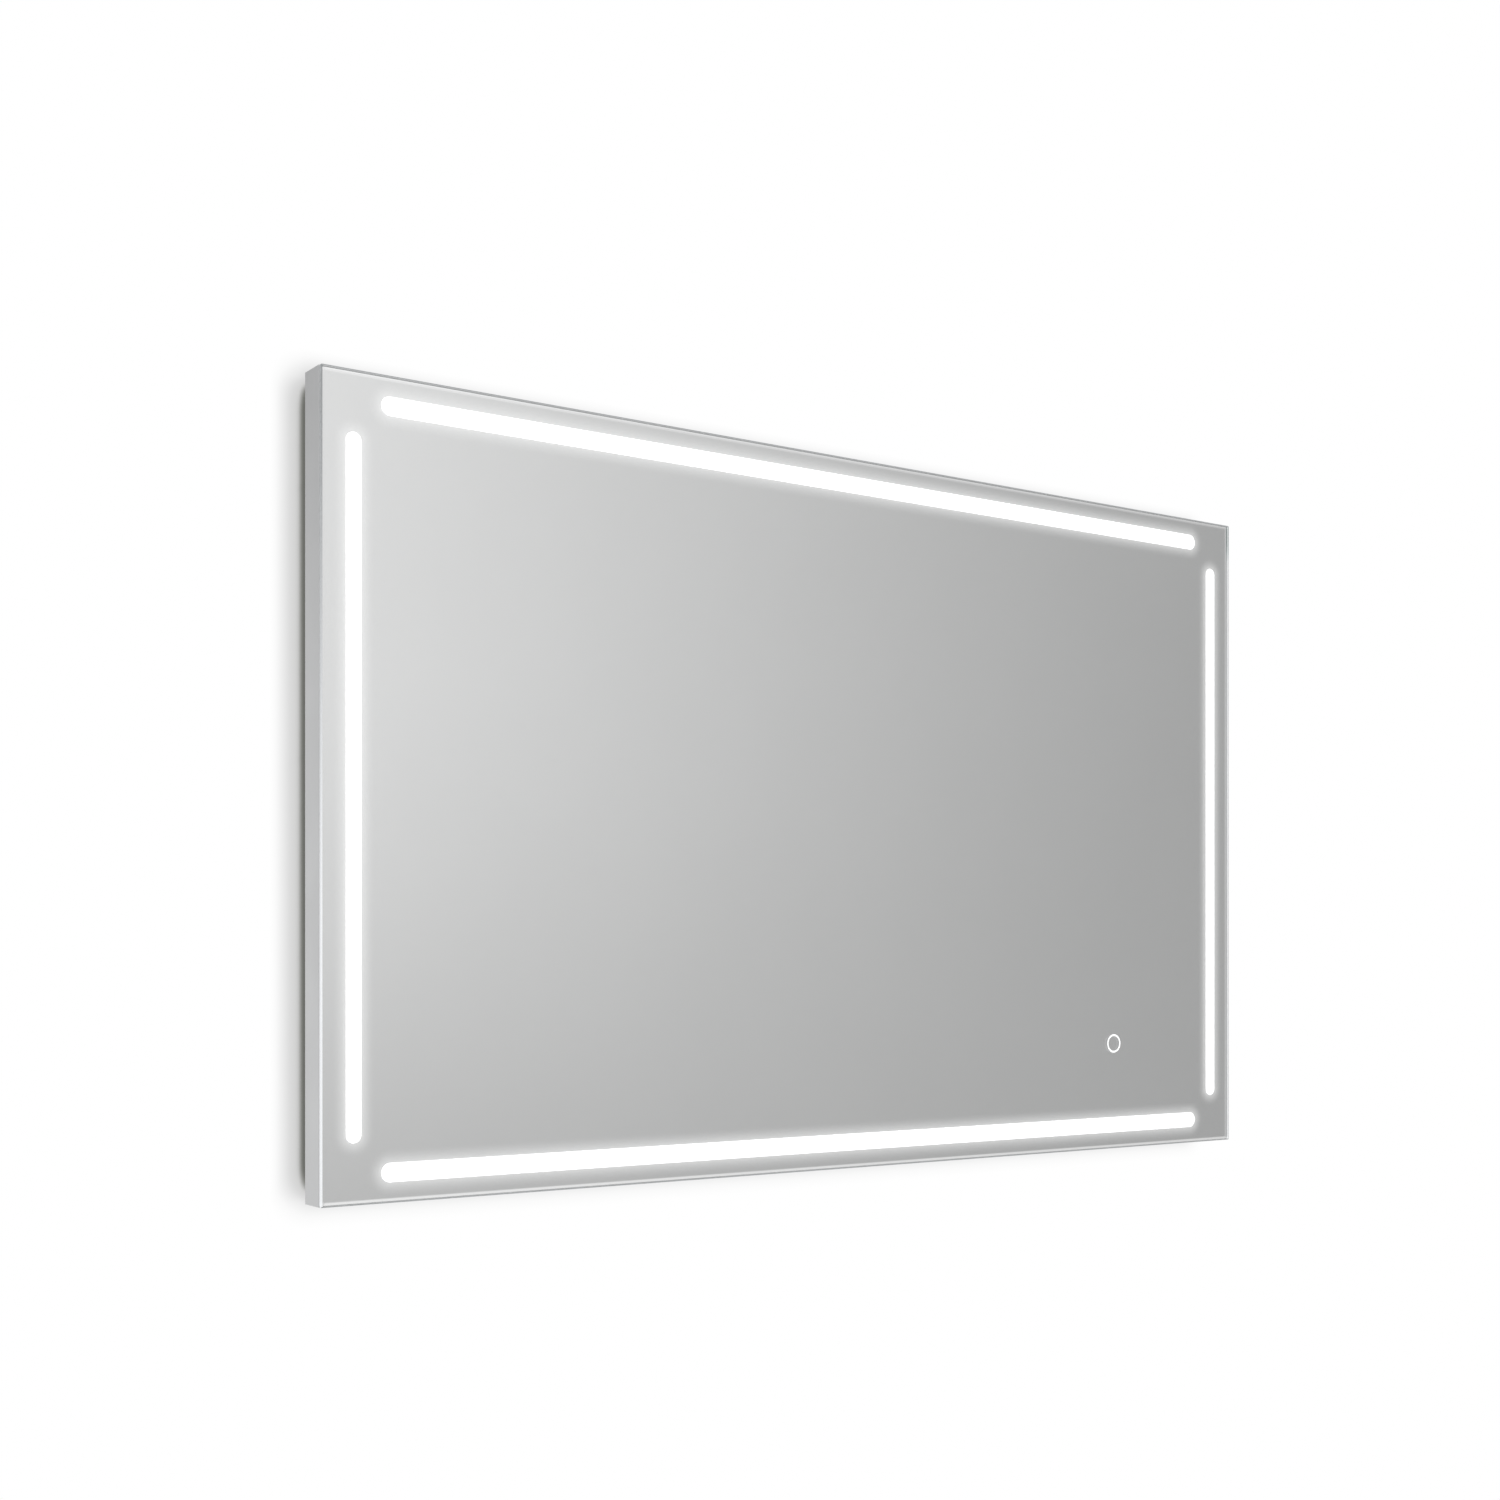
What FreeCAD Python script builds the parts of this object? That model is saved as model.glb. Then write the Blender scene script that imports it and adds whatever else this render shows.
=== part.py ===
import FreeCAD, Part
import math
import operator
import os

import Sketcher
from FreeCAD import Placement, Rotation, Vector

# A lighted bathroom mirror that hangs on a wall rail. Millimetres, +Z up, the viewer
# looks along +Y. The wall is the plane Y = 0 and the origin is the middle of the rail's
# line of screw holes. Depth is measured from the wall towards the viewer.

doc = FreeCAD.newDocument("lighted_mirror")
sheet = doc.addObject("Spreadsheet::Sheet", "Sizes")

SIZES = (
    ("pane_width", 1100, "glass, side to side"),
    ("pane_height", 700, "glass, top to bottom"),
    ("glass_thick", 4, "float glass"),
    ("arris", 1.2, "ground edge of the glass"),
    ("coat_thick", 0.2, "silver and its backing paint"),
    ("coat_inset", 1.2, "bare rim round the silver"),
    ("tape_thick", 0.8, "double-sided mounting tape"),
    ("tape_width", 9, "double-sided mounting tape"),
    ("tape_inset", 1.5, "tape, from the outside of the frame"),
    ("frame_depth", 31, "aluminium section, back to front"),
    ("frame_wall", 2, "aluminium section"),
    ("front_flange", 12, "flange that the glass is taped to"),
    ("back_flange", 16, "flange that the panel is screwed to"),
    ("chamfer_deep", 2, "rear outer edge of the section, along the depth"),
    ("chamfer_in", 3, "rear outer edge of the section, across it"),
    ("wall_gap", 12, "wall to the back of the frame"),
    ("panel_thick", 1, "sheet steel back panel"),
    ("panel_inset", 6, "panel, from the outside of the frame"),
    ("panel_corner", 8, "corner radius of the panel"),
    ("screw_line", 11, "panel screws, from the outside of the frame"),
    ("end_screw_across", 70, "outermost screw of the top and bottom, from the side"),
    ("end_screw_up", 120, "outermost screw of each side, from the corner"),
    ("screw_radius", 1.75, "small screws"),
    ("screw_head", 3.5, "radius of their pan heads"),
    ("head_height", 1.8, "of all pan heads"),
    ("screw_length", 5, "under the head"),
    ("recess_width", 0.9, "arms of the cross recess"),
    ("recess_reach", 1.9, "half of the cross recess"),
    ("recess_depth", 1.1, "cross recess"),
    ("hole_play", 0.15, "screw holes over screws"),
    ("snug", 0.05, "threads and pressed pieces"),
    ("fit_gap", 0.3, "loose fits inside the casing"),
    ("window_width_across", 16.4, "top and bottom light windows"),
    ("window_width_up", 14, "side light windows"),
    ("window_inset_across", 25.5, "top and bottom windows, edge to middle line"),
    ("window_inset_up", 30, "side windows, edge to middle line"),
    ("window_end_across", 55, "top and bottom windows, side of the pane to tip"),
    ("window_end_up", 52, "side windows, top of the pane to tip"),
    ("ring_radius", 10, "touch ring, outside"),
    ("ring_line", 1.9, "touch ring, width of its line"),
    ("touch_from_right", 182, "touch ring, from the right side of the pane"),
    ("touch_from_bottom", 114, "touch ring, from the bottom of the pane"),
    ("diffuser_thick", 2, "opal acrylic strips"),
    ("channel_width", 26, "aluminium light channel"),
    ("channel_depth", 18, "aluminium light channel"),
    ("channel_wall", 1.5, "aluminium light channel"),
    ("channel_overrun", 7, "channel, past each end of its window"),
    ("strip_width", 10, "light strip"),
    ("strip_thick", 0.4, "light strip"),
    ("strip_setback", 4, "light strip, from each end of its channel"),
    ("chip_length", 3.5, "light-emitting chip"),
    ("chip_width", 2.8, "light-emitting chip"),
    ("chip_height", 0.9, "light-emitting chip"),
    ("chip_pitch", 16, "light-emitting chips along a strip"),
    ("key_thick", 3, "corner key"),
    ("key_width", 10, "corner key"),
    ("key_leg", 46, "corner key"),
    ("key_screw", 2, "radius of its grub screws"),
    ("key_screw_end", 6, "grub screw, from the end of a leg"),
    ("key_screw_step", 18, "grub screws along a leg"),
    ("socket_radius", 1, "hexagon socket of a grub screw"),
    ("rail_drop", 100, "top of the pane to the rail's screw holes"),
    ("rail_length", 720, "wall rail"),
    ("rail_wall", 2, "wall rail and hangers"),
    ("rail_below", 16, "wall rail under its screw holes"),
    ("rail_above", 10, "wall rail over its screw holes, to the shelf's top"),
    ("hook_height", 12, "lip of the rail and of each hanger"),
    ("rail_slot", 5.4, "wall to the inside of the rail's lip"),
    ("lip_play", 0.6, "between the two lips"),
    ("rest_gap", 0.2, "hanger over the rail's lip"),
    ("outer_hole_across", 320, "outer wall screws, from the middle"),
    ("inner_hole_across", 120, "inner wall screws, from the middle"),
    ("wall_hole", 2.75, "radius of the wall screw holes"),
    ("hanger_length", 160, "hanger"),
    ("hanger_across", 250, "hanger, from the middle"),
    ("hanger_plate", 26, "hanger, flat part"),
    ("bolt_radius", 2, "hanger screws"),
    ("bolt_head", 4, "radius of their pan heads"),
    ("bolt_end", 20, "hanger screws, from the ends of a hanger"),
    ("bolt_step", 40, "hanger screws, apart"),
    ("nut_flat", 7, "nut, across its flats"),
    ("nut_height", 3.2, "nut"),
    ("bolt_past_nut", 1, "hanger screw, past its nut"),
    ("buffer_radius", 12, "rubber wall buffer"),
    ("buffer_across", 90, "buffer, from the side of the pane"),
    ("buffer_up", 60, "buffer, from the bottom of the pane"),
    ("vent_length", 34, "panel vent"),
    ("vent_width", 3, "panel vent"),
    ("vent_step", 9, "panel vents, apart"),
    ("vent_count", 9, "panel vents in a group"),
    ("vent_over_driver", 62, "vents, over the middle of the driver"),
    ("driver_length", 184, "driver case"),
    ("driver_width", 58, "driver case"),
    ("case_depth", 22, "driver case and terminal box"),
    ("case_wall", 2, "driver case and terminal box"),
    ("lid_thick", 2, "driver lid and terminal lid"),
    ("driver_across", 120, "driver, from the middle of the pane"),
    ("driver_down", 190, "driver, under the middle of the pane"),
    ("post_radius", 4, "screw post"),
    ("post_height", 4, "screw post over the floor"),
    ("post_inset", 9, "screw post, from the outside of its case"),
    ("board_thick", 1.6, "circuit boards"),
    ("board_inset", 4.5, "driver board, from the outside of its case"),
    ("core_length", 32, "transformer"),
    ("core_width", 28, "transformer"),
    ("core_height", 13, "transformer"),
    ("can_radius", 6, "capacitor"),
    ("can_height", 12, "capacitor"),
    ("can_step", 16, "capacitors, apart"),
    ("box_length", 100, "terminal box"),
    ("box_width", 58, "terminal box"),
    ("box_across", -150, "terminal box, from the middle of the pane"),
    ("block_length", 34, "terminal block"),
    ("block_width", 18, "terminal block"),
    ("block_height", 15, "terminal block"),
    ("block_shift", 16, "terminal block, right of the box's middle"),
    ("way_step", 10, "terminal ways, apart"),
    ("way_radius", 1.6, "terminal way"),
    ("way_height", 6, "terminal way over the block's foot"),
    ("way_screw_radius", 2, "terminal screw"),
    ("way_screw_height", 3, "terminal screw"),
    ("way_screw_off", 5, "terminal screws, from the block's middle line"),
    ("inlet_shift", 20, "cable inlet, left of the box's middle"),
    ("inlet_bore", 4.2, "radius of the inlet's bore"),
    ("inlet_neck", 7, "radius of the grommet's neck"),
    ("inlet_flange", 10.5, "radius of the grommet's flange"),
    ("inlet_lip", 9, "radius of the grommet's inner lip"),
    ("inlet_rim", 1.5, "thickness of the grommet's flange and lip"),
    ("clamp_length", 34, "cord clamp"),
    ("clamp_width", 7, "cord clamp"),
    ("clamp_thick", 3, "cord clamp"),
    ("clamp_screw_off", 13, "clamp screws, from the inlet's middle"),
    ("clamp_down", 16, "cord clamp, under the inlet"),
    ("clamp_height", 8, "clamp posts over the floor"),
    ("holder_radius", 17, "touch sensor holder"),
    ("holder_depth", 13, "touch sensor holder"),
    ("holder_wall", 1.6, "touch sensor holder"),
    ("guide_thick", 3, "light guide behind the touch ring"),
    ("pillar_radius", 1.5, "pillar in the holder"),
    ("pillar_off", 11, "pillars, from the holder's middle"),
    ("lead_height", 5, "leads over the back panel"),
    ("mains_radius", 3, "sheathed lead"),
    ("lead_radius", 1.3, "low-voltage leads"),
    ("lead_play", 0.2, "leads in their holes and clips"),
    ("bend_radius", 14, "leads, along their middle line"),
    ("tight_bend", 4, "feed lead, where it rises to the strip"),
    ("lead_over_strip", 8, "leads, over the end of a strip"),
    ("feed_off", 14, "feed lead, under the driver's middle line"),
    ("sensor_off", 8, "sensor lead, over the driver's middle line"),
    ("sensor_turn", 70, "sensor lead's turn, left of the touch sensor"),
    ("sensor_rise", 26, "sensor lead's rise, left of the holder"),
    ("clip_length", 6, "cable clip, along the lead"),
    ("clip_foot", 12, "cable clip, across the lead"),
    ("clip_roof", 1.6, "cable clip, over the lead"),
)

for row, (alias, number, note) in enumerate(SIZES, 1):
    sheet.set(f"A{row}", alias)
    sheet.set(f"B{row}", str(number))
    sheet.set(f"C{row}", note)
    sheet.setAlias(f"B{row}", alias)
doc.recompute()

SIGNS = {
    "+": operator.add,
    "-": operator.sub,
    "*": operator.mul,
    "/": operator.truediv,
}


class Size:
    """A length that knows its spreadsheet formula and its present value."""

    def __init__(self, formula, value):
        self.formula = formula
        self.value = value

    def __add__(self, other):
        return combined(self, "+", other)

    def __radd__(self, other):
        return combined(other, "+", self)

    def __sub__(self, other):
        return combined(self, "-", other)

    def __rsub__(self, other):
        return combined(other, "-", self)

    def __mul__(self, other):
        return combined(self, "*", other)

    def __rmul__(self, other):
        return combined(other, "*", self)

    def __truediv__(self, other):
        return combined(self, "/", other)

    def __neg__(self):
        return combined(0, "-", self)


def as_size(term):
    """The term itself, or a plain number wrapped as a size."""
    return term if isinstance(term, Size) else Size(repr(term), float(term))


def combined(left, sign, right):
    """Joins two terms into one formula and one value."""
    left = as_size(left)
    right = as_size(right)
    formula = f"({left.formula} {sign} {right.formula})"
    return Size(formula, SIGNS[sign](left.value, right.value))


def root(term):
    """Square root of a size."""
    return Size(f"sqrt({term.formula})", math.sqrt(term.value))


def whole(term):
    """Largest whole number in a size."""
    return Size(f"floor({term.formula})", math.floor(term.value))


class Cells:
    """Gives each spreadsheet cell as a size, by its alias."""

    def __getattr__(self, alias):
        return Size("Sizes." + alias, float(getattr(sheet, alias)))


s = Cells()


def bind(thing, name, length):
    """Ties one property of an object to a formula."""
    thing.setExpression(name, as_size(length).formula)


# --- sketches and features ------------------------------------------------------------


def new_body(label, across=0, depth=0, up=0, turn=0):
    """Starts a sub-part whose own origin lies at the given place, turned about Y."""
    body = doc.addObject("PartDesign::Body", label)
    body.Label = label
    body.AllowCompound = True
    body.Placement = Placement(Vector(), Rotation(Vector(0, 1, 0), turn))
    bind(body, "Placement.Base.x", across)
    bind(body, "Placement.Base.y", -as_size(depth))
    bind(body, "Placement.Base.z", up)
    return body


def new_sketch(body, role="XZ_Plane", lift=0):
    """A sketch on one of the body's own planes. On XZ it looks at the back of the part."""
    plane = next(item for item in body.Origin.OriginFeatures if item.Role == role)
    sketch = body.newObject("Sketcher::SketchObject", "Sketch")
    sketch.AttachmentSupport = (plane, [""])
    sketch.MapMode = "FlatFace"
    bind(sketch, "AttachmentOffset.Base.z", lift)
    return sketch


def constrain(sketch, kind, places, length):
    """Adds one driving constraint and ties it to a formula."""
    size = as_size(length)
    index = sketch.addConstraint(Sketcher.Constraint(kind, *places, size.value))
    bind(sketch, f"Constraints[{index}]", size)


def pin(sketch, item, point, across, up):
    """Ties a point of the sketch to its origin."""
    constrain(sketch, "DistanceX", (-1, 1, item, point), across)
    constrain(sketch, "DistanceY", (-1, 1, item, point), up)


def polygon(sketch, corners):
    """A closed outline of straight lines."""
    spots = [Vector(as_size(a).value, as_size(b).value, 0) for a, b in corners]
    count = len(spots)
    lines = [
        sketch.addGeometry(Part.LineSegment(spots[i], spots[(i + 1) % count]))
        for i in range(count)
    ]
    for i, line in enumerate(lines):
        following = lines[(i + 1) % count]
        sketch.addConstraint(Sketcher.Constraint("Coincident", line, 2, following, 1))
    for line, (across, up) in zip(lines, corners):
        pin(sketch, line, 1, across, up)


def rectangle(sketch, width, height, across=0, up=0):
    """A rectangle about a middle point."""
    left = across - width / 2
    right = across + width / 2
    low = up - height / 2
    high = up + height / 2
    polygon(sketch, ((left, low), (right, low), (right, high), (left, high)))


def circle(sketch, radius, across=0, up=0):
    """A circle about a middle point."""
    middle = Vector(as_size(across).value, as_size(up).value, 0)
    item = sketch.addGeometry(Part.Circle(middle, Vector(0, 0, 1), as_size(radius).value))
    pin(sketch, item, 3, across, up)
    constrain(sketch, "Radius", (item,), radius)


def slot(sketch, length, width, across, up, upright=False):
    """A slot with round ends, along the sketch's X or upright, about a middle point."""
    radius = width / 2
    reach = length / 2 - radius
    near = (across, up - reach) if upright else (across - reach, up)
    far = (across, up + reach) if upright else (across + reach, up)
    start = Vector(as_size(near[0]).value, as_size(near[1]).value, 0)
    end = Vector(as_size(far[0]).value, as_size(far[1]).value, 0)
    heading = math.pi / 2 if upright else 0
    side = Vector(-math.sin(heading), math.cos(heading), 0) * radius.value
    quarter = math.pi / 2
    normal = Vector(0, 0, 1)
    far_circle = Part.Circle(end, normal, radius.value)
    near_circle = Part.Circle(start, normal, radius.value)
    one_side = sketch.addGeometry(Part.LineSegment(start + side, end + side))
    far_end = sketch.addGeometry(
        Part.ArcOfCircle(far_circle, heading - quarter, heading + quarter)
    )
    other_side = sketch.addGeometry(Part.LineSegment(end - side, start - side))
    near_end = sketch.addGeometry(
        Part.ArcOfCircle(near_circle, heading + quarter, heading + 3 * quarter)
    )
    for first, first_point, second, second_point in (
        (one_side, 2, far_end, 2),
        (far_end, 1, other_side, 1),
        (other_side, 2, near_end, 2),
        (near_end, 1, one_side, 1),
    ):
        tangent = Sketcher.Constraint("Tangent", first, first_point, second, second_point)
        sketch.addConstraint(tangent)
    pin(sketch, near_end, 3, *near)
    pin(sketch, far_end, 3, *far)
    constrain(sketch, "Radius", (near_end,), radius)
    sketch.addConstraint(Sketcher.Constraint("Equal", near_end, far_end))


def pad(body, sketch, length):
    """Adds material on the side that the sketch faces."""
    feature = body.newObject("PartDesign::Pad", "Pad")
    feature.Profile = sketch
    bind(feature, "Length", length)
    return feature


def pocket(body, sketch, length):
    """Cuts material behind the sketch."""
    feature = body.newObject("PartDesign::Pocket", "Pocket")
    feature.Profile = sketch
    bind(feature, "Length", length)
    return feature


def row_of(body, feature, sketch, axis, length, count):
    """Repeats a feature along an axis of its sketch."""
    pattern = body.newObject("PartDesign::LinearPattern", "Pattern")
    pattern.Originals = [feature]
    pattern.Direction = (sketch, [axis])
    bind(pattern, "Length", length)
    bind(pattern, "Occurrences", count)
    body.Tip = pattern
    return pattern


def edges_where(feature, test):
    """Names of a feature's edges that pass a test."""
    doc.recompute()
    return [f"Edge{i}" for i, edge in enumerate(feature.Shape.Edges, 1) if test(edge)]


def plate(label, width, height, thick, across=0, depth=0, up=0, turn=0):
    """A flat rectangular piece, parallel to the wall."""
    body = new_body(label, across, depth, up, turn)
    sketch = new_sketch(body)
    rectangle(sketch, width, height)
    pad(body, sketch, thick)
    return body


def bar(label, section, length, across=0, depth=0, up=0, turn=0):
    """An extruded section, given as points of depth and height, centred on its length."""
    body = new_body(label, across, depth, up, turn)
    sketch = new_sketch(body, "YZ_Plane", -length / 2)
    polygon(sketch, [(-as_size(deep), high) for deep, high in section])
    pad(body, sketch, length)
    return body


def pegs(body, spots, radius, length, lift=0):
    """Round studs at several places of the body."""
    sketch = new_sketch(body, lift=lift)
    for across, up in spots:
        circle(sketch, radius, across, up)
    return pad(body, sketch, length)


def holes(body, spots, radius, length, lift):
    """Round holes at several places, cut back from the given height over the origin."""
    sketch = new_sketch(body, lift=lift)
    for across, up in spots:
        circle(sketch, radius, across, up)
    return pocket(body, sketch, length)


def cross_recesses(body, spots, depth):
    """Cross recesses in screw heads. They open towards the wall."""
    for width, height in (
        (s.recess_reach * 2, s.recess_width),
        (s.recess_width, s.recess_reach * 2),
    ):
        sketch = new_sketch(body, lift=depth)
        for across, up in spots:
            rectangle(sketch, width, height, across, up)
        pocket(body, sketch, depth)


def rear_screws(label, spots, depth, radius, head, length, up):
    """A group of pan head screws, driven from behind. Depth is where the heads seat."""
    body = new_body(label, 0, depth - s.head_height, up)
    pegs(body, spots, head, s.head_height)
    cross_recesses(body, spots, s.recess_depth)
    pegs(body, spots, radius, length, s.head_height)


def tray(label, length, width, across, up):
    """An open plastic case on the back panel, with its opening to the front."""
    body = plate(label, length, width, s.case_depth, across, s.wall_gap, up)
    sketch = new_sketch(body, lift=s.case_depth)
    rectangle(sketch, length - s.case_wall * 2, width - s.case_wall * 2)
    pocket(body, sketch, s.case_depth - s.case_wall)
    return body


def side_hole(body, across, up, radius):
    """A round lead hole through one side wall of a case; across is the wall's middle."""
    sketch = new_sketch(body, "YZ_Plane", across + s.case_wall)
    circle(sketch, radius, -s.lead_height, up)
    pocket(body, sketch, s.case_wall * 2)


# --- depths and heights that several pieces share ---------------------------------------

pane_middle = s.rail_drop - s.pane_height / 2
half_width = s.pane_width / 2
half_height = s.pane_height / 2

panel_back = s.wall_gap - s.panel_thick
frame_front = s.wall_gap + s.frame_depth
coat_back = frame_front + s.tape_thick
glass_back = coat_back + s.coat_thick
diffuser_back = coat_back - s.diffuser_thick
channel_back = diffuser_back - s.channel_depth
strip_back = channel_back + s.channel_wall
strip_front = strip_back + s.strip_thick

touch_across = half_width - s.touch_from_right
touch_up = s.touch_from_bottom - half_height

# --- glass and silver ---------------------------------------------------------------------

glass = plate(
    "mirror_glass", s.pane_width, s.pane_height, s.glass_thick, 0, glass_back, pane_middle
)
front_edges = edges_where(
    glass.Tip,
    lambda edge: all(abs(v.Y + s.glass_thick.value) < 1e-6 for v in edge.Vertexes),
)
arris = glass.newObject("PartDesign::Chamfer", "Arris")
arris.Base = (glass.Group[1], front_edges)
bind(arris, "Size", s.arris)

silver = plate(
    "silvering",
    s.pane_width - s.coat_inset * 2,
    s.pane_height - s.coat_inset * 2,
    s.coat_thick,
    0,
    coat_back,
    pane_middle,
)
window_length_across = s.pane_width - s.window_end_across * 2
window_length_up = s.pane_height - s.window_end_up * 2
windows_up = half_height - s.window_inset_across
windows_across = half_width - s.window_inset_up
openings = new_sketch(silver, lift=s.coat_thick)
for side in (-1, 1):
    slot(openings, window_length_across, s.window_width_across, as_size(0), windows_up * side)
    slot(openings, window_length_up, s.window_width_up, windows_across * side, as_size(0), True)
circle(openings, s.ring_radius, touch_across, touch_up)
circle(openings, s.ring_radius - s.ring_line, touch_across, touch_up)
pocket(silver, openings, s.coat_thick)

# --- light units: one behind each window ----------------------------------------------------

channel_section = (
    (0, -s.channel_width / 2),
    (0, s.channel_width / 2),
    (s.channel_depth, s.channel_width / 2),
    (s.channel_depth, s.channel_width / 2 - s.channel_wall),
    (s.channel_wall, s.channel_width / 2 - s.channel_wall),
    (s.channel_wall, s.channel_wall - s.channel_width / 2),
    (s.channel_depth, s.channel_wall - s.channel_width / 2),
    (s.channel_depth, -s.channel_width / 2),
)
light_units = (
    ("top", 0, windows_up, 0, window_length_across),
    ("bottom", 0, -windows_up, 0, window_length_across),
    ("left", -windows_across, 0, 90, window_length_up),
    ("right", windows_across, 0, 90, window_length_up),
)


def light_unit(side, across, up, turn, window_length):
    """Diffuser, channel, light strip and chips behind one window."""
    channel_length = window_length + s.channel_overrun * 2
    strip_length = channel_length - s.strip_setback * 2
    place = {"across": across, "up": pane_middle + up, "turn": turn}
    plate(
        f"diffuser_{side}",
        channel_length,
        s.channel_width,
        s.diffuser_thick,
        depth=diffuser_back,
        **place,
    )
    bar(
        f"light_channel_{side}",
        channel_section,
        channel_length,
        depth=channel_back,
        **place,
    )
    plate(
        f"light_strip_{side}",
        strip_length,
        s.strip_width,
        s.strip_thick,
        depth=strip_back,
        **place,
    )
    steps = whole((strip_length - s.lead_over_strip * 2 - s.chip_length) / s.chip_pitch)
    run = steps * s.chip_pitch
    chips = new_body(f"light_chips_{side}", depth=strip_front, **place)
    first = new_sketch(chips)
    rectangle(first, s.chip_length, s.chip_width, -run / 2)
    row_of(chips, pad(chips, first, s.chip_height), first, "H_Axis", run, steps + 1)


for unit in light_units:
    light_unit(*unit)

# --- frame: four mitred bars, corner keys and tape --------------------------------------------

# The inner face of the rear chamfer keeps the section's wall thickness.
chamfer_length = root(s.chamfer_in * s.chamfer_in + s.chamfer_deep * s.chamfer_deep)
chamfer_reach = s.chamfer_in * s.chamfer_deep + s.frame_wall * chamfer_length
inner_deep = (chamfer_reach - s.chamfer_deep * s.frame_wall) / s.chamfer_in
inner_in = (chamfer_reach - s.chamfer_in * s.frame_wall) / s.chamfer_deep
frame_section = (
    (s.chamfer_deep, 0),
    (s.frame_depth, 0),
    (s.frame_depth, -s.front_flange),
    (s.frame_depth - s.frame_wall, -s.front_flange),
    (s.frame_depth - s.frame_wall, -s.frame_wall),
    (inner_deep, -s.frame_wall),
    (s.frame_wall, -inner_in),
    (s.frame_wall, -s.back_flange),
    (0, -s.back_flange),
    (0, -s.chamfer_in),
)
screws_across = [(half_width - s.end_screw_across) * part for part in (-1, -0.5, 0, 0.5, 1)]
screws_up = [(half_height - s.end_screw_up) * part for part in (-1, 0, 1)]


def frame_bar(side, across, up, turn, length, screw_spots):
    """One side of the frame. Its own origin is the middle of its rear outer edge."""
    body = bar(
        f"frame_{side}", frame_section, length, across, s.wall_gap, pane_middle + up, turn
    )
    deepest = s.back_flange + s.frame_wall
    for end in (-1, 1):
        mitre = new_sketch(body, lift=s.frame_depth + s.frame_wall)
        corner = length / 2 * end
        polygon(mitre, ((corner, 0), (corner, -deepest), (corner - deepest * end, -deepest)))
        pocket(body, mitre, s.frame_depth + s.frame_wall * 2)
    spots = [(spot, -s.screw_line) for spot in screw_spots]
    holes(body, spots, s.screw_radius + s.snug, s.frame_wall, s.frame_wall)


frame_bar("top", 0, half_height, 0, s.pane_width, screws_across)
frame_bar("bottom", 0, -half_height, 180, s.pane_width, screws_across)
frame_bar("left", -half_width, 0, -90, s.pane_height, screws_up)
frame_bar("right", half_width, 0, 90, s.pane_height, screws_up)

key_start = inner_in + s.fit_gap
key_inner = key_start + s.key_width
key_end = key_start + s.key_leg
key_line = key_start + s.key_width / 2
key_outline = (
    (-key_start, -key_start),
    (-key_end, -key_start),
    (-key_end, -key_inner),
    (-key_inner, -key_inner),
    (-key_inner, -key_end),
    (-key_start, -key_end),
)
key_steps = (key_end - s.key_screw_end, key_end - s.key_screw_end - s.key_screw_step)
key_screw_spots = [(-step, -key_line) for step in key_steps]
key_screw_spots += [(-key_line, -step) for step in key_steps]
corners = (
    ("top_right", 1, 1, 0),
    ("bottom_right", 1, -1, 90),
    ("bottom_left", -1, -1, 180),
    ("top_left", -1, 1, 270),
)
key_back = s.wall_gap + s.frame_wall
for name, to_side, to_end, turn in corners:
    key = new_body(
        f"corner_key_{name}",
        half_width * to_side,
        key_back,
        pane_middle + half_height * to_end,
        turn,
    )
    outline = new_sketch(key)
    polygon(outline, key_outline)
    pad(key, outline, s.key_thick)
    holes(key, key_screw_spots, s.key_screw + s.snug, s.key_thick, s.key_thick)

grub_spots = [
    ((half_width + across) * to_side, (half_height + up) * to_end)
    for name, to_side, to_end, turn in corners
    for across, up in key_screw_spots
]
grub_screws = new_body("corner_screws", 0, key_back, pane_middle)
pegs(grub_screws, grub_spots, s.key_screw, s.key_thick)
holes(grub_screws, grub_spots, s.socket_radius, s.key_thick / 2, s.key_thick)

tape_line = s.tape_inset + s.tape_width / 2
tape_across = s.pane_width - s.tape_inset * 2
tape_up = s.pane_height - (s.tape_inset + s.tape_width + s.fit_gap) * 2
for side, end in (("top", 1), ("bottom", -1)):
    height = pane_middle + (half_height - tape_line) * end
    plate(f"tape_{side}", tape_across, s.tape_width, s.tape_thick, 0, frame_front, height)
for side, end in (("left", -1), ("right", 1)):
    place = (half_width - tape_line) * end
    plate(f"tape_{side}", s.tape_width, tape_up, s.tape_thick, place, frame_front, pane_middle)

# --- hanging: wall rail, hangers, buffers ---------------------------------------------------

lip_front = s.rail_slot + s.rail_wall
lip_top = s.rail_above + s.hook_height
rail_section = (
    (0, -s.rail_below),
    (0, s.rail_above),
    (s.rail_slot, s.rail_above),
    (s.rail_slot, lip_top),
    (lip_front, lip_top),
    (lip_front, s.rail_above - s.rail_wall),
    (s.rail_wall, s.rail_above - s.rail_wall),
    (s.rail_wall, -s.rail_below),
)
rail = bar("wall_rail", rail_section, s.rail_length)
wall_screw_spots = [
    (across * end, 0)
    for across in (s.outer_hole_across, s.inner_hole_across)
    for end in (-1, 1)
]
holes(rail, wall_screw_spots, s.wall_hole, s.rail_wall, s.rail_wall)

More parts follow.
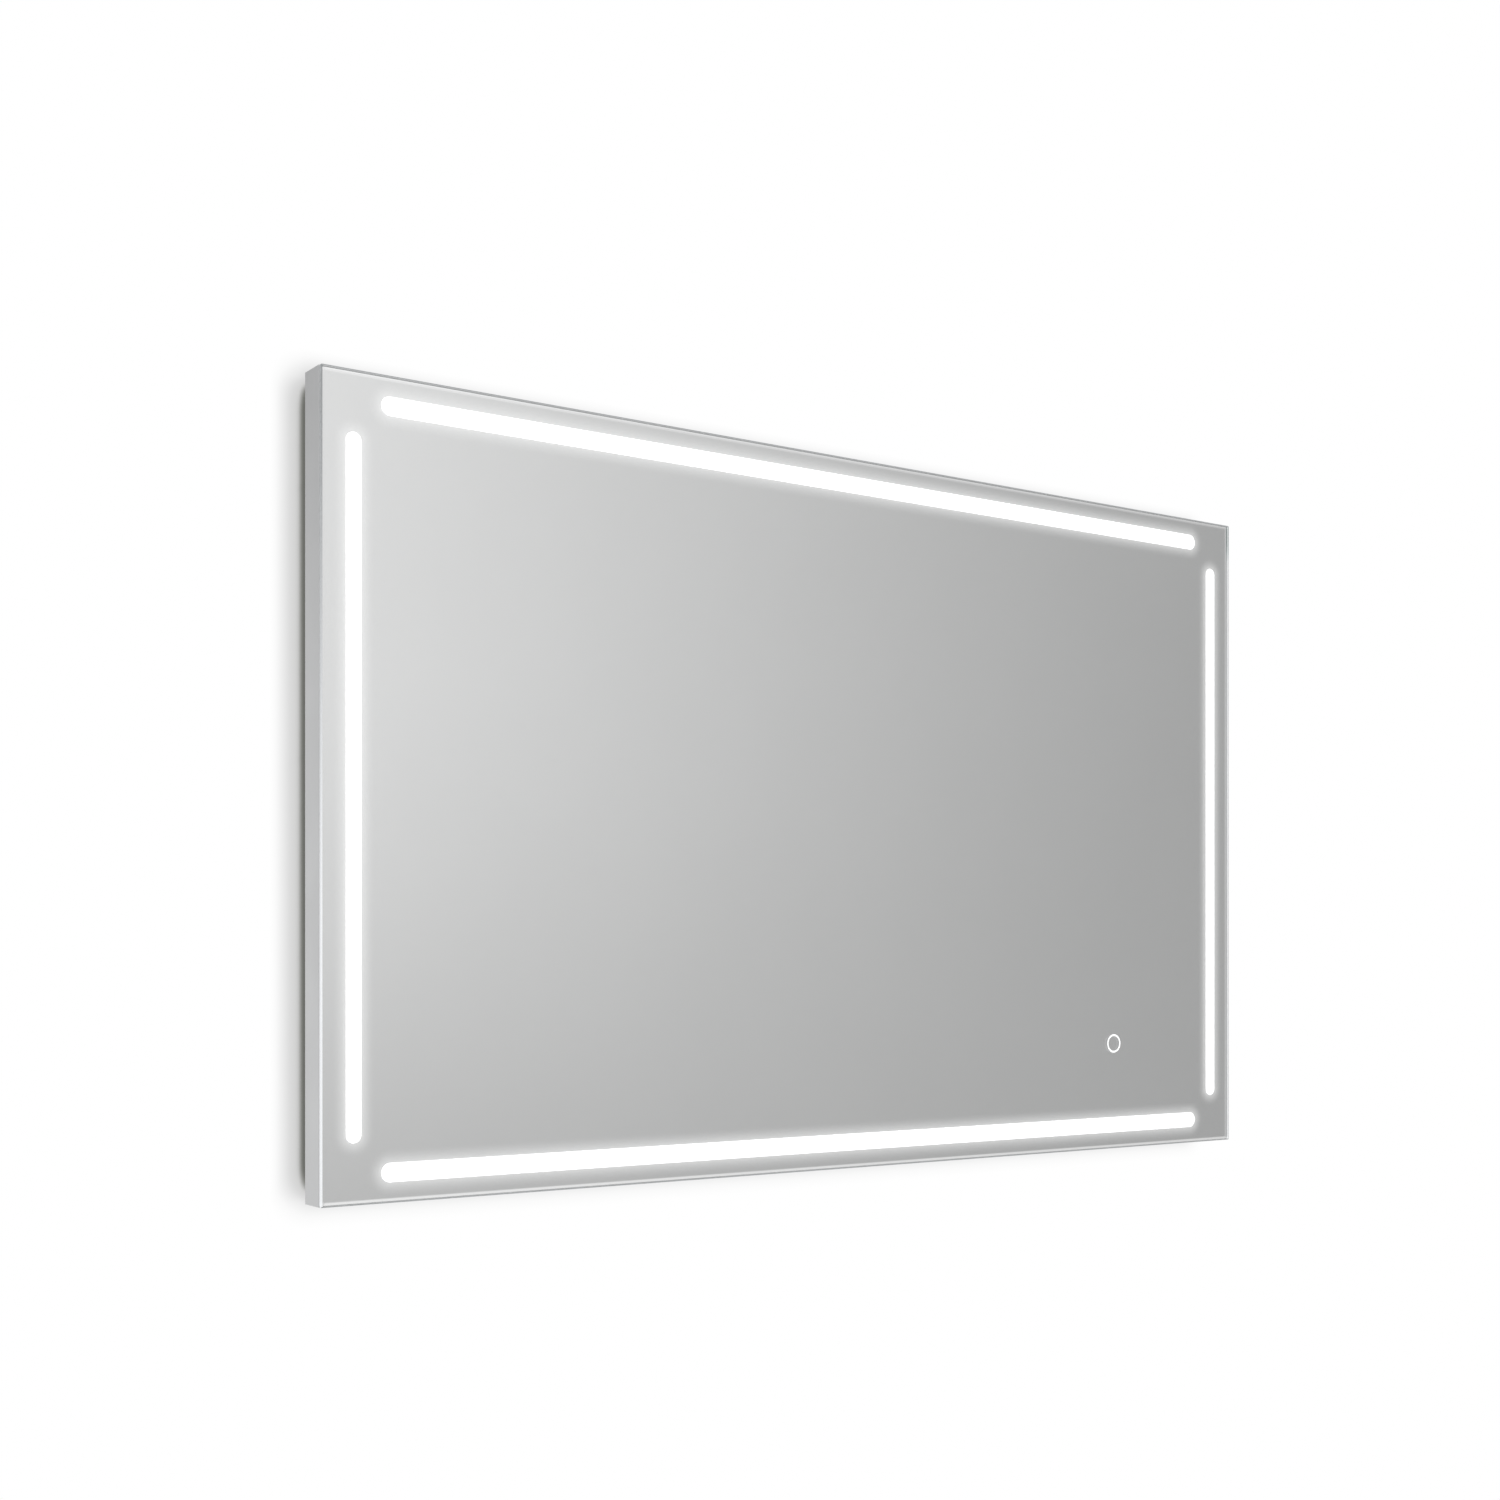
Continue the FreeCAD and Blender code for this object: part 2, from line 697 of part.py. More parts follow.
hanger_rest = lip_top + s.rest_gap
hanger_top = hanger_rest + s.hanger_plate
tongue_front = s.rail_slot - s.lip_play
tongue_back = tongue_front - s.rail_wall
plate_back = panel_back - s.rail_wall
hanger_section = (
    (panel_back, hanger_rest),
    (panel_back, hanger_top),
    (plate_back, hanger_top),
    (plate_back, hanger_rest + s.rail_wall),
    (tongue_back, hanger_rest + s.rail_wall),
    (tongue_back, hanger_rest + s.rail_wall - s.hook_height),
    (tongue_front, hanger_rest + s.rail_wall - s.hook_height),
    (tongue_front, hanger_rest),
)
bolt_height = hanger_rest + (s.rail_wall + s.hanger_plate) / 2
bolt_steps = [s.hanger_length / 2 - s.bolt_end, s.bolt_step / 2]
bolt_spots = [(step * end, bolt_height) for step in bolt_steps for end in (-1, 1)]
hangers = (("left", -1), ("right", 1))
for side, end in hangers:
    hanger = bar(
        f"hanger_{side}", hanger_section, s.hanger_length, s.hanger_across * end
    )
    holes(hanger, bolt_spots, s.bolt_radius + s.hole_play, s.rail_wall, panel_back)

all_bolt_spots = [
    (s.hanger_across * end + across, up) for side, end in hangers for across, up in bolt_spots
]
bolt_length = s.rail_wall + s.panel_thick + s.nut_height + s.bolt_past_nut
rear_screws(
    "hanger_screws", all_bolt_spots, plate_back, s.bolt_radius, s.bolt_head, bolt_length, 0
)

nuts = new_body("hanger_nuts", 0, s.wall_gap, 0)
nut_outline = new_sketch(nuts)
# A hexagon with its flats to the sides: corners from the half width across the flats.
nut_half = s.nut_flat / 2
nut_corner = s.nut_flat / root(as_size(3))
for across, up in all_bolt_spots:
    polygon(
        nut_outline,
        (
            (across, up + nut_corner),
            (across - nut_half, up + nut_corner / 2),
            (across - nut_half, up - nut_corner / 2),
            (across, up - nut_corner),
            (across + nut_half, up - nut_corner / 2),
            (across + nut_half, up + nut_corner / 2),
        ),
    )
pad(nuts, nut_outline, s.nut_height)
holes(nuts, all_bolt_spots, s.bolt_radius + s.snug, s.nut_height, s.nut_height)

for side, end in hangers:
    buffer = new_body(
        f"wall_buffer_{side}",
        (half_width - s.buffer_across) * end,
        0,
        pane_middle - half_height + s.buffer_up,
    )
    pegs(buffer, [(0, 0)], s.buffer_radius, panel_back)

# --- driver: case, board and lid on the back panel -----------------------------------------

driver_up = pane_middle - s.driver_down


def post_spots(length, width):
    """Middles of the four screw posts of a case."""
    return [
        ((length / 2 - s.post_inset) * side, (width / 2 - s.post_inset) * end)
        for side in (-1, 1)
        for end in (-1, 1)
    ]


driver_posts = post_spots(s.driver_length, s.driver_width)
driver_case = tray("driver_case", s.driver_length, s.driver_width, s.driver_across, driver_up)
pegs(driver_case, driver_posts, s.post_radius, s.post_height, s.case_wall)
holes(
    driver_case,
    driver_posts,
    s.screw_radius + s.snug,
    s.case_wall + s.post_height,
    s.case_wall + s.post_height,
)
case_side = s.driver_length / 2 - s.case_wall / 2
side_hole(driver_case, -case_side, 0, s.mains_radius + s.lead_play)
side_hole(driver_case, case_side, s.sensor_off, s.lead_radius + s.lead_play)
side_hole(driver_case, -case_side, -s.feed_off, s.lead_radius + s.lead_play)

board_back = s.wall_gap + s.case_wall + s.post_height
board = plate(
    "driver_board",
    s.driver_length - s.board_inset * 2,
    s.driver_width - s.board_inset * 2,
    s.board_thick,
    s.driver_across,
    board_back,
    driver_up,
)
core = new_sketch(board, lift=s.board_thick)
rectangle(core, s.core_length, s.core_width, as_size(0), as_size(0))
pad(board, core, s.core_height)
cans = [(s.core_length / 2 + s.can_step * step, 0) for step in (1, 2)]
pegs(board, cans, s.can_radius, s.can_height, s.board_thick)

lid_back = s.wall_gap + s.case_depth
plate(
    "driver_lid",
    s.driver_length,
    s.driver_width,
    s.lid_thick,
    s.driver_across,
    lid_back,
    driver_up,
)

# --- terminal box: inlet grommet, cord clamp and terminal block -------------------------------

box = tray("terminal_box", s.box_length, s.box_width, s.box_across, driver_up)
box_posts = post_spots(s.box_length, s.box_width)
clamp_spots = [(s.clamp_screw_off * end - s.inlet_shift, -s.clamp_down) for end in (-1, 1)]
pegs(box, box_posts, s.post_radius, s.post_height, s.case_wall)
pegs(box, clamp_spots, s.clamp_width / 2, s.clamp_height, s.case_wall)
holes(
    box,
    box_posts,
    s.screw_radius + s.snug,
    s.case_wall + s.post_height,
    s.case_wall + s.post_height,
)
holes(
    box,
    clamp_spots,
    s.screw_radius + s.snug,
    s.clamp_height,
    s.case_wall + s.clamp_height,
)
holes(box, [(-s.inlet_shift, 0)], s.inlet_neck + s.snug, s.case_wall, s.case_wall)
box_side = s.box_length / 2 - s.case_wall / 2
side_hole(box, box_side, 0, s.mains_radius + s.lead_play)

plate(
    "terminal_lid", s.box_length, s.box_width, s.lid_thick, s.box_across, lid_back, driver_up
)

grommet_across = s.box_across - s.inlet_shift
grommet = new_body("cable_grommet", grommet_across, panel_back - s.inlet_rim, driver_up)
neck_length = s.panel_thick + s.case_wall
pegs(grommet, [(0, 0)], s.inlet_flange, s.inlet_rim)
pegs(grommet, [(0, 0)], s.inlet_neck, neck_length, s.inlet_rim)
pegs(grommet, [(0, 0)], s.inlet_lip, s.inlet_rim, s.inlet_rim + neck_length)
grommet_length = neck_length + s.inlet_rim * 2
holes(grommet, [(0, 0)], s.inlet_bore, grommet_length, grommet_length)

clamp_back = s.wall_gap + s.case_wall + s.clamp_height
clamp = plate(
    "cord_clamp",
    s.clamp_length,
    s.clamp_width,
    s.clamp_thick,
    grommet_across,
    clamp_back,
    driver_up - s.clamp_down,
)
clamp_screw_spots = [(s.clamp_screw_off * end, 0) for end in (-1, 1)]
holes(
    clamp, clamp_screw_spots, s.screw_radius + s.hole_play, s.clamp_thick, s.clamp_thick
)
clamp_screws = new_body(
    "clamp_screws", grommet_across, clamp_back + s.clamp_thick, driver_up - s.clamp_down
)
pegs(clamp_screws, clamp_screw_spots, s.screw_head, s.head_height)
shank = s.clamp_thick + s.clamp_height / 2
pegs(clamp_screws, clamp_screw_spots, s.screw_radius, shank, -shank)

block = plate(
    "terminal_block",
    s.block_length,
    s.block_width,
    s.block_height,
    s.box_across + s.block_shift,
    s.wall_gap + s.case_wall,
    driver_up,
)
ways = [s.way_step * step for step in (-1, 0, 1)]
way_sketch = new_sketch(block, "XY_Plane", s.block_width / 2)
for way in ways:
    circle(way_sketch, s.way_radius, way, -s.way_height)
pocket(block, way_sketch, s.block_width)
way_screw_spots = [(way, s.way_screw_off * end) for way in ways for end in (-1, 1)]
holes(
    block,
    way_screw_spots,
    s.way_screw_radius + s.snug,
    s.way_screw_height,
    s.block_height,
)
way_screws = new_body(
    "terminal_screws",
    s.box_across + s.block_shift,
    s.wall_gap + s.case_wall + s.block_height - s.way_screw_height,
    driver_up,
)
pegs(way_screws, way_screw_spots, s.way_screw_radius, s.way_screw_height)
slots = new_sketch(way_screws, lift=s.way_screw_height)
for across, up in way_screw_spots:
    rectangle(slots, s.way_screw_radius * 1.5, s.recess_width, across, up)
pocket(way_screws, slots, s.recess_depth)

# --- touch sensor: holder, light guide and board behind the ring --------------------------------

touch_height = pane_middle + touch_up
holder_back = coat_back - s.holder_depth
guide_radius = s.holder_radius - s.holder_wall - s.fit_gap
pillar_top = s.holder_depth - s.guide_thick - s.board_thick
holder = new_body("touch_holder", touch_across, holder_back, touch_height)
pegs(holder, [(0, 0)], s.holder_radius, s.holder_depth)
holes(
    holder,
    [(0, 0)],
    s.holder_radius - s.holder_wall,
    s.holder_depth - s.holder_wall,
    s.holder_depth,
)
pillars = [(0, s.pillar_off), (0, -s.pillar_off), (s.pillar_off, 0)]
pegs(holder, pillars, s.pillar_radius, pillar_top - s.holder_wall, s.holder_wall)
lead_entry = new_sketch(holder, "YZ_Plane", s.holder_wall - s.holder_radius + s.fit_gap)
entry_height = s.holder_wall + s.lead_radius + s.lead_play
circle(lead_entry, s.lead_radius + s.lead_play, -entry_height, 0)
pocket(holder, lead_entry, s.holder_wall + s.fit_gap * 2)

touch_board = new_body("touch_board", touch_across, holder_back + pillar_top, touch_height)
pegs(touch_board, [(0, 0)], guide_radius, s.board_thick)
guide = new_body("touch_light_guide", touch_across, coat_back - s.guide_thick, touch_height)
pegs(guide, [(0, 0)], guide_radius, s.guide_thick)

# --- back panel and the screws that go through it -------------------------------------------

panel = plate(
    "back_panel",
    s.pane_width - s.panel_inset * 2,
    s.pane_height - s.panel_inset * 2,
    s.panel_thick,
    0,
    panel_back,
    pane_middle,
)
upright_edges = edges_where(
    panel.Tip, lambda edge: abs(edge.tangentAt(edge.FirstParameter).y) > 1 - 1e-6
)
rounding = panel.newObject("PartDesign::Fillet", "Rounding")
rounding.Base = (panel.Group[1], upright_edges)
bind(rounding, "Radius", s.panel_corner)

edge_screw_spots = [
    (across, (half_height - s.screw_line) * end) for across in screws_across for end in (-1, 1)
]
edge_screw_spots += [
    ((half_width - s.screw_line) * end, up) for up in screws_up for end in (-1, 1)
]
driver_screw_spots = [(s.driver_across + a, up - s.driver_down) for a, up in driver_posts]
box_screw_spots = [(s.box_across + a, up - s.driver_down) for a, up in box_posts]
small_screw_spots = edge_screw_spots + driver_screw_spots + box_screw_spots
holes(
    panel, small_screw_spots, s.screw_radius + s.hole_play, s.panel_thick, s.panel_thick
)
bolt_spots_in_panel = [(across, up - pane_middle) for across, up in all_bolt_spots]
holes(
    panel, bolt_spots_in_panel, s.bolt_radius + s.hole_play, s.panel_thick, s.panel_thick
)
inlet_spot = [(grommet_across, -s.driver_down)]
holes(panel, inlet_spot, s.inlet_neck + s.snug, s.panel_thick, s.panel_thick)
vent = new_sketch(panel, lift=s.panel_thick)
vent_run = s.vent_step * (s.vent_count - 1)
slot(
    vent,
    s.vent_length,
    s.vent_width,
    s.driver_across - vent_run / 2,
    s.vent_over_driver - s.driver_down,
    True,
)
first_vent = pocket(panel, vent, s.panel_thick)
row_of(panel, first_vent, vent, "H_Axis", vent_run, s.vent_count)

rear_screws(
    "panel_screws",
    edge_screw_spots,
    panel_back,
    s.screw_radius,
    s.screw_head,
    s.screw_length,
    pane_middle,
)
rear_screws(
    "case_screws",
    driver_screw_spots + box_screw_spots,
    panel_back,
    s.screw_radius,
    s.screw_head,
    s.screw_length,
    pane_middle,
)

# --- leads and clips ---------------------------------------------------------------------


def lead_wire(points, bend):
    """Straight runs joined by tangent arcs, through points of across, depth and up."""
    spots = [
        Vector(as_size(across).value, -as_size(depth).value, as_size(up).value)
        for across, depth, up in points
    ]
    edges = []
    start = spots[0]
    for before, corner, after in zip(spots, spots[1:], spots[2:]):
        way_in = (corner - before).normalize()
        way_out = (after - corner).normalize()
        half_turn = way_in.getAngle(way_out) / 2
        shorter = min((corner - before).Length, (after - corner).Length)
        radius = min(bend, shorter / 2 / math.tan(half_turn))
        reach = radius * math.tan(half_turn)
        arc_start = corner - way_in * reach
        arc_end = corner + way_out * reach
        to_middle = (way_out - way_in).normalize()
        middle = corner + to_middle * (radius / math.cos(half_turn) - radius)
        if (arc_start - start).Length > 1e-6:
            edges.append(Part.LineSegment(start, arc_start).toShape())
        edges.append(Part.Arc(arc_start, middle, arc_end).toShape())
        start = arc_end
    if (spots[-1] - start).Length > 1e-6:
        edges.append(Part.LineSegment(start, spots[-1]).toShape())
    return Part.Wire(edges)


def lead_solid(points, radius, bend):
    """One lead, as a tube along its wire."""
    wire = lead_wire(points, bend.value)
    heading = wire.Edges[0].tangentAt(wire.Edges[0].FirstParameter)
    ring = Part.Circle(wire.Edges[0].valueAt(wire.Edges[0].FirstParameter), heading, radius.value)
    tube = wire.makePipeShell([Part.Wire(ring.toShape())], True, False)
    expected = math.pi * radius.value**2 * wire.Length
    if abs(tube.Volume / expected - 1) > 0.01:
        raise ValueError(f"lead volume {tube.Volume:.1f} is not {expected:.1f}")
    return tube


def set_piece(label, shape):
    """Keeps a shape made by the functions above as one sub-part."""
    piece = doc.addObject("Part::Feature", label)
    piece.Label = label
    piece.Shape = shape
    piece.Placement = Placement()
    return piece


lead_depth = s.wall_gap + s.lead_height
driver_left = s.driver_across - s.driver_length / 2
driver_right = s.driver_across + s.driver_length / 2
box_right = s.box_across + s.box_length / 2
strip_lead_depth = strip_front + s.lead_radius + s.snug
channel_end_across = window_length_across / 2 + s.channel_overrun
channel_end_up = window_length_up / 2 + s.channel_overrun
strip_end_across = channel_end_across - s.strip_setback - s.lead_over_strip
strip_end_up = channel_end_up - s.strip_setback - s.lead_over_strip

mains_points = (
    (box_right - s.case_wall - s.fit_gap, lead_depth, driver_up),
    (driver_left + s.case_wall + s.fit_gap, lead_depth, driver_up),
)
set_piece("mains_lead", lead_solid(mains_points, s.mains_radius, s.bend_radius))

feed_up = driver_up - s.feed_off
feed_turn = driver_left - s.bend_radius * 2
feed_low = pane_middle - windows_up
feed_points = (
    (driver_left + s.case_wall + s.fit_gap, lead_depth, feed_up),
    (feed_turn, lead_depth, feed_up),
    (feed_turn, lead_depth, feed_low),
    (-windows_across, lead_depth, feed_low),
    (-windows_across, strip_lead_depth, feed_low),
    (-windows_across, strip_lead_depth, pane_middle - strip_end_up),
)
set_piece("feed_lead", lead_solid(feed_points, s.lead_radius, s.tight_bend))

sensor_up = driver_up + s.sensor_off
sensor_turn = touch_across - s.sensor_turn
sensor_rise = touch_across - s.holder_radius - s.sensor_rise
entry_depth = holder_back + entry_height
sensor_points = (
    (driver_right - s.case_wall - s.fit_gap, lead_depth, sensor_up),
    (sensor_turn, lead_depth, sensor_up),
    (sensor_turn, lead_depth, touch_height),
    (sensor_rise, lead_depth, touch_height),
    (sensor_rise + s.sensor_rise / 2, entry_depth, touch_height),
    (touch_across - s.holder_radius + s.holder_wall * 2, entry_depth, touch_height),
)
set_piece("sensor_lead", lead_solid(sensor_points, s.lead_radius, s.bend_radius))

link_corners = ((-1, 1), (1, 1), (1, -1))
links = [
    lead_solid(
        (
            (windows_across * side, strip_lead_depth, pane_middle + strip_end_up * end),
            (windows_across * side, strip_lead_depth, pane_middle + windows_up * end),
            (strip_end_across * side, strip_lead_depth, pane_middle + windows_up * end),
        ),
        s.lead_radius,
        s.bend_radius,
    )
    for side, end in link_corners
]
set_piece("link_leads", Part.makeCompound(links))


def clip(across, up, radius, upright):
    """A clip on the back panel round a lead that runs along X, or upright along Z."""
    reach = s.lead_height.value + radius.value + s.lead_play.value + s.clip_roof.value
    long_side = s.clip_length.value
    foot = s.clip_foot.value
    size = Vector(foot, reach, long_side) if upright else Vector(long_side, reach, foot)
    middle = Vector(as_size(across).value, -s.wall_gap.value, as_size(up).value)
    corner = middle - Vector(size.x / 2, size.y, size.z / 2)
    block = Part.makeBox(size.x, size.y, size.z, corner)
    axis = Vector(0, 0, 1) if upright else Vector(1, 0, 0)
    lead_middle = middle - Vector(0, s.lead_height.value, 0)
    bore = Part.makeCylinder(
        radius.value + s.lead_play.value, long_side * 2, lead_middle - axis * long_side, axis
    )
    return block.cut(bore)


feed_run = (feed_turn + windows_across) / 3
clips = [
    clip((box_right + driver_left) / 2, driver_up, s.mains_radius, False),
    clip(feed_turn, (feed_up + feed_low) / 2, s.lead_radius, True),
    clip(feed_turn - feed_run, feed_low, s.lead_radius, False),
    clip(feed_turn - feed_run * 2, feed_low, s.lead_radius, False),
    clip((driver_right + sensor_turn) / 2, sensor_up, s.lead_radius, False),
]
set_piece("cable_clips", Part.makeCompound(clips))

# --- checks and files ---------------------------------------------------------------------

doc.recompute()
for thing in doc.Objects:
    if "Invalid" in thing.State or "Error" in thing.State:
        raise RuntimeError(f"{thing.Label} failed: {thing.State}")
    if thing.TypeId == "PartDesign::Pocket":
        if thing.Shape.Volume >= thing.BaseFeature.Shape.Volume - 1e-6:
            owner = thing.getParentGeoFeatureGroup().Label
            raise RuntimeError(f"{thing.Label} in {owner} cuts nothing")

pieces = [
    thing for thing in doc.Objects if thing.TypeId in ("PartDesign::Body", "Part::Feature")
]
for piece in pieces:
    if piece.Shape.isNull() or not piece.Shape.isValid() or not piece.Shape.Solids:
        raise RuntimeError(f"{piece.Label} has no valid solid")

os.makedirs("parts", exist_ok=True)
for piece in pieces:
    piece.Shape.exportStep(f"parts/{piece.Label}.step")
print(f"{len(pieces)} sub-parts written")
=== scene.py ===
"""Looks of a lighted bathroom mirror that hangs on a wall rail.

Everything is in metres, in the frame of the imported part: +Z up, the viewer looks along
+Y, and the wall is the plane Y = 0.
"""

import logging
import math
from dataclasses import dataclass
from enum import Enum
from functools import cache
from typing import Any, Iterable, Mapping, Optional, Sequence, Union

import bmesh
import bpy
from mathutils import Matrix, Vector


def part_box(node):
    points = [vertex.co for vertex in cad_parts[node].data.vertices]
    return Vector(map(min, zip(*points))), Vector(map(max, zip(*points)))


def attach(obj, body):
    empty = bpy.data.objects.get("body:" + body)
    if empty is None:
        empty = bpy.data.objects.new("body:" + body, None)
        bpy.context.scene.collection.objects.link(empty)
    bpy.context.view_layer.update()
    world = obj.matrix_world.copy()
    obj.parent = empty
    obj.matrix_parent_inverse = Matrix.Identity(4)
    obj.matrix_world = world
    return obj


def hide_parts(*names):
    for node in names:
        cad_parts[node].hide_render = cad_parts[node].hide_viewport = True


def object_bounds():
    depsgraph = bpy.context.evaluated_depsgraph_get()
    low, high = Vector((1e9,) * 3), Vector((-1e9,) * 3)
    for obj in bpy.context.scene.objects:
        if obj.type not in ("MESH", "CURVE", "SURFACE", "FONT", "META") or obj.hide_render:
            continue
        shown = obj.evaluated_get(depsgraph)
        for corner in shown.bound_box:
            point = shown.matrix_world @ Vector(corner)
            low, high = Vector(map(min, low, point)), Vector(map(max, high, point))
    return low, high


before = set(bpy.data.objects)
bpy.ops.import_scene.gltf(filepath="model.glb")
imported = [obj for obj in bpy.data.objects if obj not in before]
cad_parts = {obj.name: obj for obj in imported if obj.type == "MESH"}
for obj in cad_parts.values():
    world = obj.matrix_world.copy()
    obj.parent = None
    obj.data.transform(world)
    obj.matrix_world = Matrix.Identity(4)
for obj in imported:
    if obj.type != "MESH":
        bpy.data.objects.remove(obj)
cad_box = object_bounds()

LOG = logging.getLogger("lighted_mirror")
MM = 0.001
MIRROR_BODY = "mirror"
RAIL_BODY = "rail"
LEVEL = ("top", "bottom")
ENDS = ("left", "right")
SIDES = LEVEL + ENDS
FACE_ON = 0.99999  # a normal with more of it along Y belongs to a flat face
NEAR_AXIS = 1e-5  # a turned profile comes no nearer to its axis
WELD = 1e-7  # points nearer to each other than this become one
CURVE_WELD = 1e-6
FLAT_COSINE = 0.98  # between a bevelled and a plain normal, where wear begins
EDGE_COSINE = 0.80
GLASS_IOR = 1.52
WHITE = (1.0, 1.0, 1.0)
BLACK = (0.0, 0.0, 0.0)
# tints the painted glow on the pane's right side
GREENISH = (0.72, 1.0, 0.96)
AS_IS = (1.0, 1.0, 1.0)

Point = tuple[float, float]
Band = tuple[float, float]
Triple = tuple[float, float, float]
Mesh = bpy.types.Mesh
Socket = bpy.types.NodeSocket
Term = Union[Socket, float, Sequence[float]]

WHOLE: Band = (0.0, 1.0)
MIDDLE: Band = (0.3, 0.7)  # where most of a noise's values lie


class Grain(Enum):
    """Which way a metal was brushed or drawn, as stretches of the noise's axes."""

    ALONG_X = (0.004, 1.0, 1.0)
    ALONG_Z = (1.0, 1.0, 0.004)


class Run(Enum):
    """Which way a straight piece runs."""

    ACROSS = "across"
    UPRIGHT = "upright"


GRAINS = ((Grain.ALONG_X, LEVEL), (Grain.ALONG_Z, ENDS))


def middle_of(node: str) -> Point:
    """Gives the middle of a CAD node, across and up."""
    low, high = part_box(node)
    return (low.x + high.x) / 2, (low.z + high.z) / 2


# --- finishes ----------------------------------------------------------------------------


class Tree:
    """Adds and joins the nodes of one shader tree."""

    def __init__(self, tree: bpy.types.NodeTree) -> None:
        """Takes a material's or the world's node tree."""
        self.tree = tree

    def add(
        self, kind: str, inputs: Optional[Mapping[Any, Term]] = None, **settings: Any
    ) -> bpy.types.Node:
        """Adds a node.

        Args:
            kind: The node's type, without its ShaderNode prefix.
            inputs: What its inputs take, by their name or number.
            **settings: Properties to set on it first.

        Returns:
            The new node.
        """
        node = self.tree.nodes.new("ShaderNode" + kind)
        for key, value in settings.items():
            setattr(node, key, value)
        for key, term in (inputs or {}).items():
            self.plug(term, node.inputs[key])
        return node

    def plug(self, term: Term, socket: Socket) -> None:
        """Links a socket to an input, or writes a number or a colour there.

        Args:
            term: An output socket, a number, or the three parts of a colour or vector.
            socket: The input that takes it.
        """
        if isinstance(term, bpy.types.NodeSocket):
            self.tree.links.new(term, socket)
        elif socket.type == "RGBA":
            socket.default_value = (*term, 1.0)
        else:
            socket.default_value = term

    def math(self, operation: str, first: Term, second: Term = 0.0) -> Socket:
        """Adds one step of arithmetic, by Blender's name for it."""
        return self.add("Math", {0: first, 1: second}, operation=operation).outputs[0]

    def spread(self, term: Term, band: Band, to: Band = WHOLE) -> Socket:
        """Maps a band of values onto another, clamped and eased at both ends."""
        inputs = dict(enumerate((term, *band, *to)))
        return self.add("MapRange", inputs, interpolation_type="SMOOTHSTEP").outputs[0]

    def between(self, share: Term, first: Term, second: Term) -> Socket:
        """Mixes two numbers by a share of the second."""
        return self.add("Mix", {0: share, 2: first, 3: second}, data_type="FLOAT").outputs[0]

    def axes(self, vector: Socket) -> Sequence[Socket]:
        """Splits a vector into its three parts."""
        return self.add("SeparateXYZ", {0: vector}).outputs


class Bench(Tree):
    """Builds the node tree of one material round a Principled shader."""

    def __init__(self, name: str) -> None:
        """Starts an empty material.

        Args:
            name: What the material is called.
        """
        self.material = bpy.data.materials.new(name)
        self.material.use_nodes = True
        super().__init__(self.material.node_tree)
        self.shader = self.tree.nodes["Principled BSDF"]
        self.output = self.tree.nodes["Material Output"]

    def shine(self, **inputs: Term) -> None:
        """Feeds the Principled shader, by its inputs' names with underscores for spaces."""
        for key, term in inputs.items():
            self.plug(term, self.shader.inputs[key.replace("_", " ")])

    def place(self, stretch: Triple = AS_IS) -> Socket:
        """Gives the surface point in the part's own metres, its axes stretched."""
        point = self.add("TexCoord").outputs["Object"]
        return self.add("Mapping", {"Scale": stretch, "Vector": point}).outputs[0]

    def noise(self, scale: float, stretch: Triple = AS_IS, detail: float = 3.0) -> Socket:
        """Adds noise of so many grains a metre and octaves of detail, about 0.5."""
        inputs = {"Vector": self.place(stretch), "Scale": scale, "Detail": detail}
        return self.add("TexNoise", inputs).outputs[0]

    def cells(self, scale: float, feature: str = "F1") -> Socket:
        """Adds the distance inside each of so many cells a metre, or to their walls."""
        inputs = {"Vector": self.place(), "Scale": scale}
        return self.add("TexVoronoi", inputs, feature=feature).outputs["Distance"]

    def blend(self, share: Term, first: Term, second: Term) -> Socket:
        """Mixes two colours by a share of the second."""
        inputs = {"Factor": share, 6: first, 7: second}
        return self.add("Mix", inputs, data_type="RGBA").outputs[2]

    def join(self, share: Socket, first: Socket, second: Socket) -> Socket:
        """Mixes two shaders by a share of the second."""
        return self.add("MixShader", {0: share, 1: first, 2: second}).outputs[0]

    def relief(self, height: Socket, depth: float, strength: float) -> None:
        """Raises the surface by a pattern, whose 1 stands for a depth in metres."""
        bump = self.add("Bump", {"Strength": strength, "Distance": depth, "Height": height})
        self.plug(bump.outputs[0], self.shader.inputs["Normal"])

    def outside(self, reach: float) -> Socket:
        """Finds outer edges, where handling wears a finish.

        Args:
            reach: How far the wear comes in from an edge.

        Returns:
            From 0 on the flat to 1 on an edge.
        """
        bevel = self.add("Bevel", {"Radius": reach}, samples=4).outputs[0]
        plain = self.add("NewGeometry").outputs["Normal"]
        cosine = self.add("VectorMath", {0: bevel, 1: plain}, operation="DOT_PRODUCT")
        return self.spread(cosine.outputs["Value"], (FLAT_COSINE, EDGE_COSINE))


@dataclass(frozen=True)
class Finish:
    """A finish of surfaces, whose material is painted once."""

    name: str

    def paint(self, bench: Bench) -> None:
        """Feeds the shader on the bench."""
        raise NotImplementedError

    @cache
    def material(self) -> bpy.types.Material:
        """Gives the finish as a material.

        Returns:
            The material, the same one each time.
        """
        bench = Bench(self.name)
        self.paint(bench)
        return bench.material


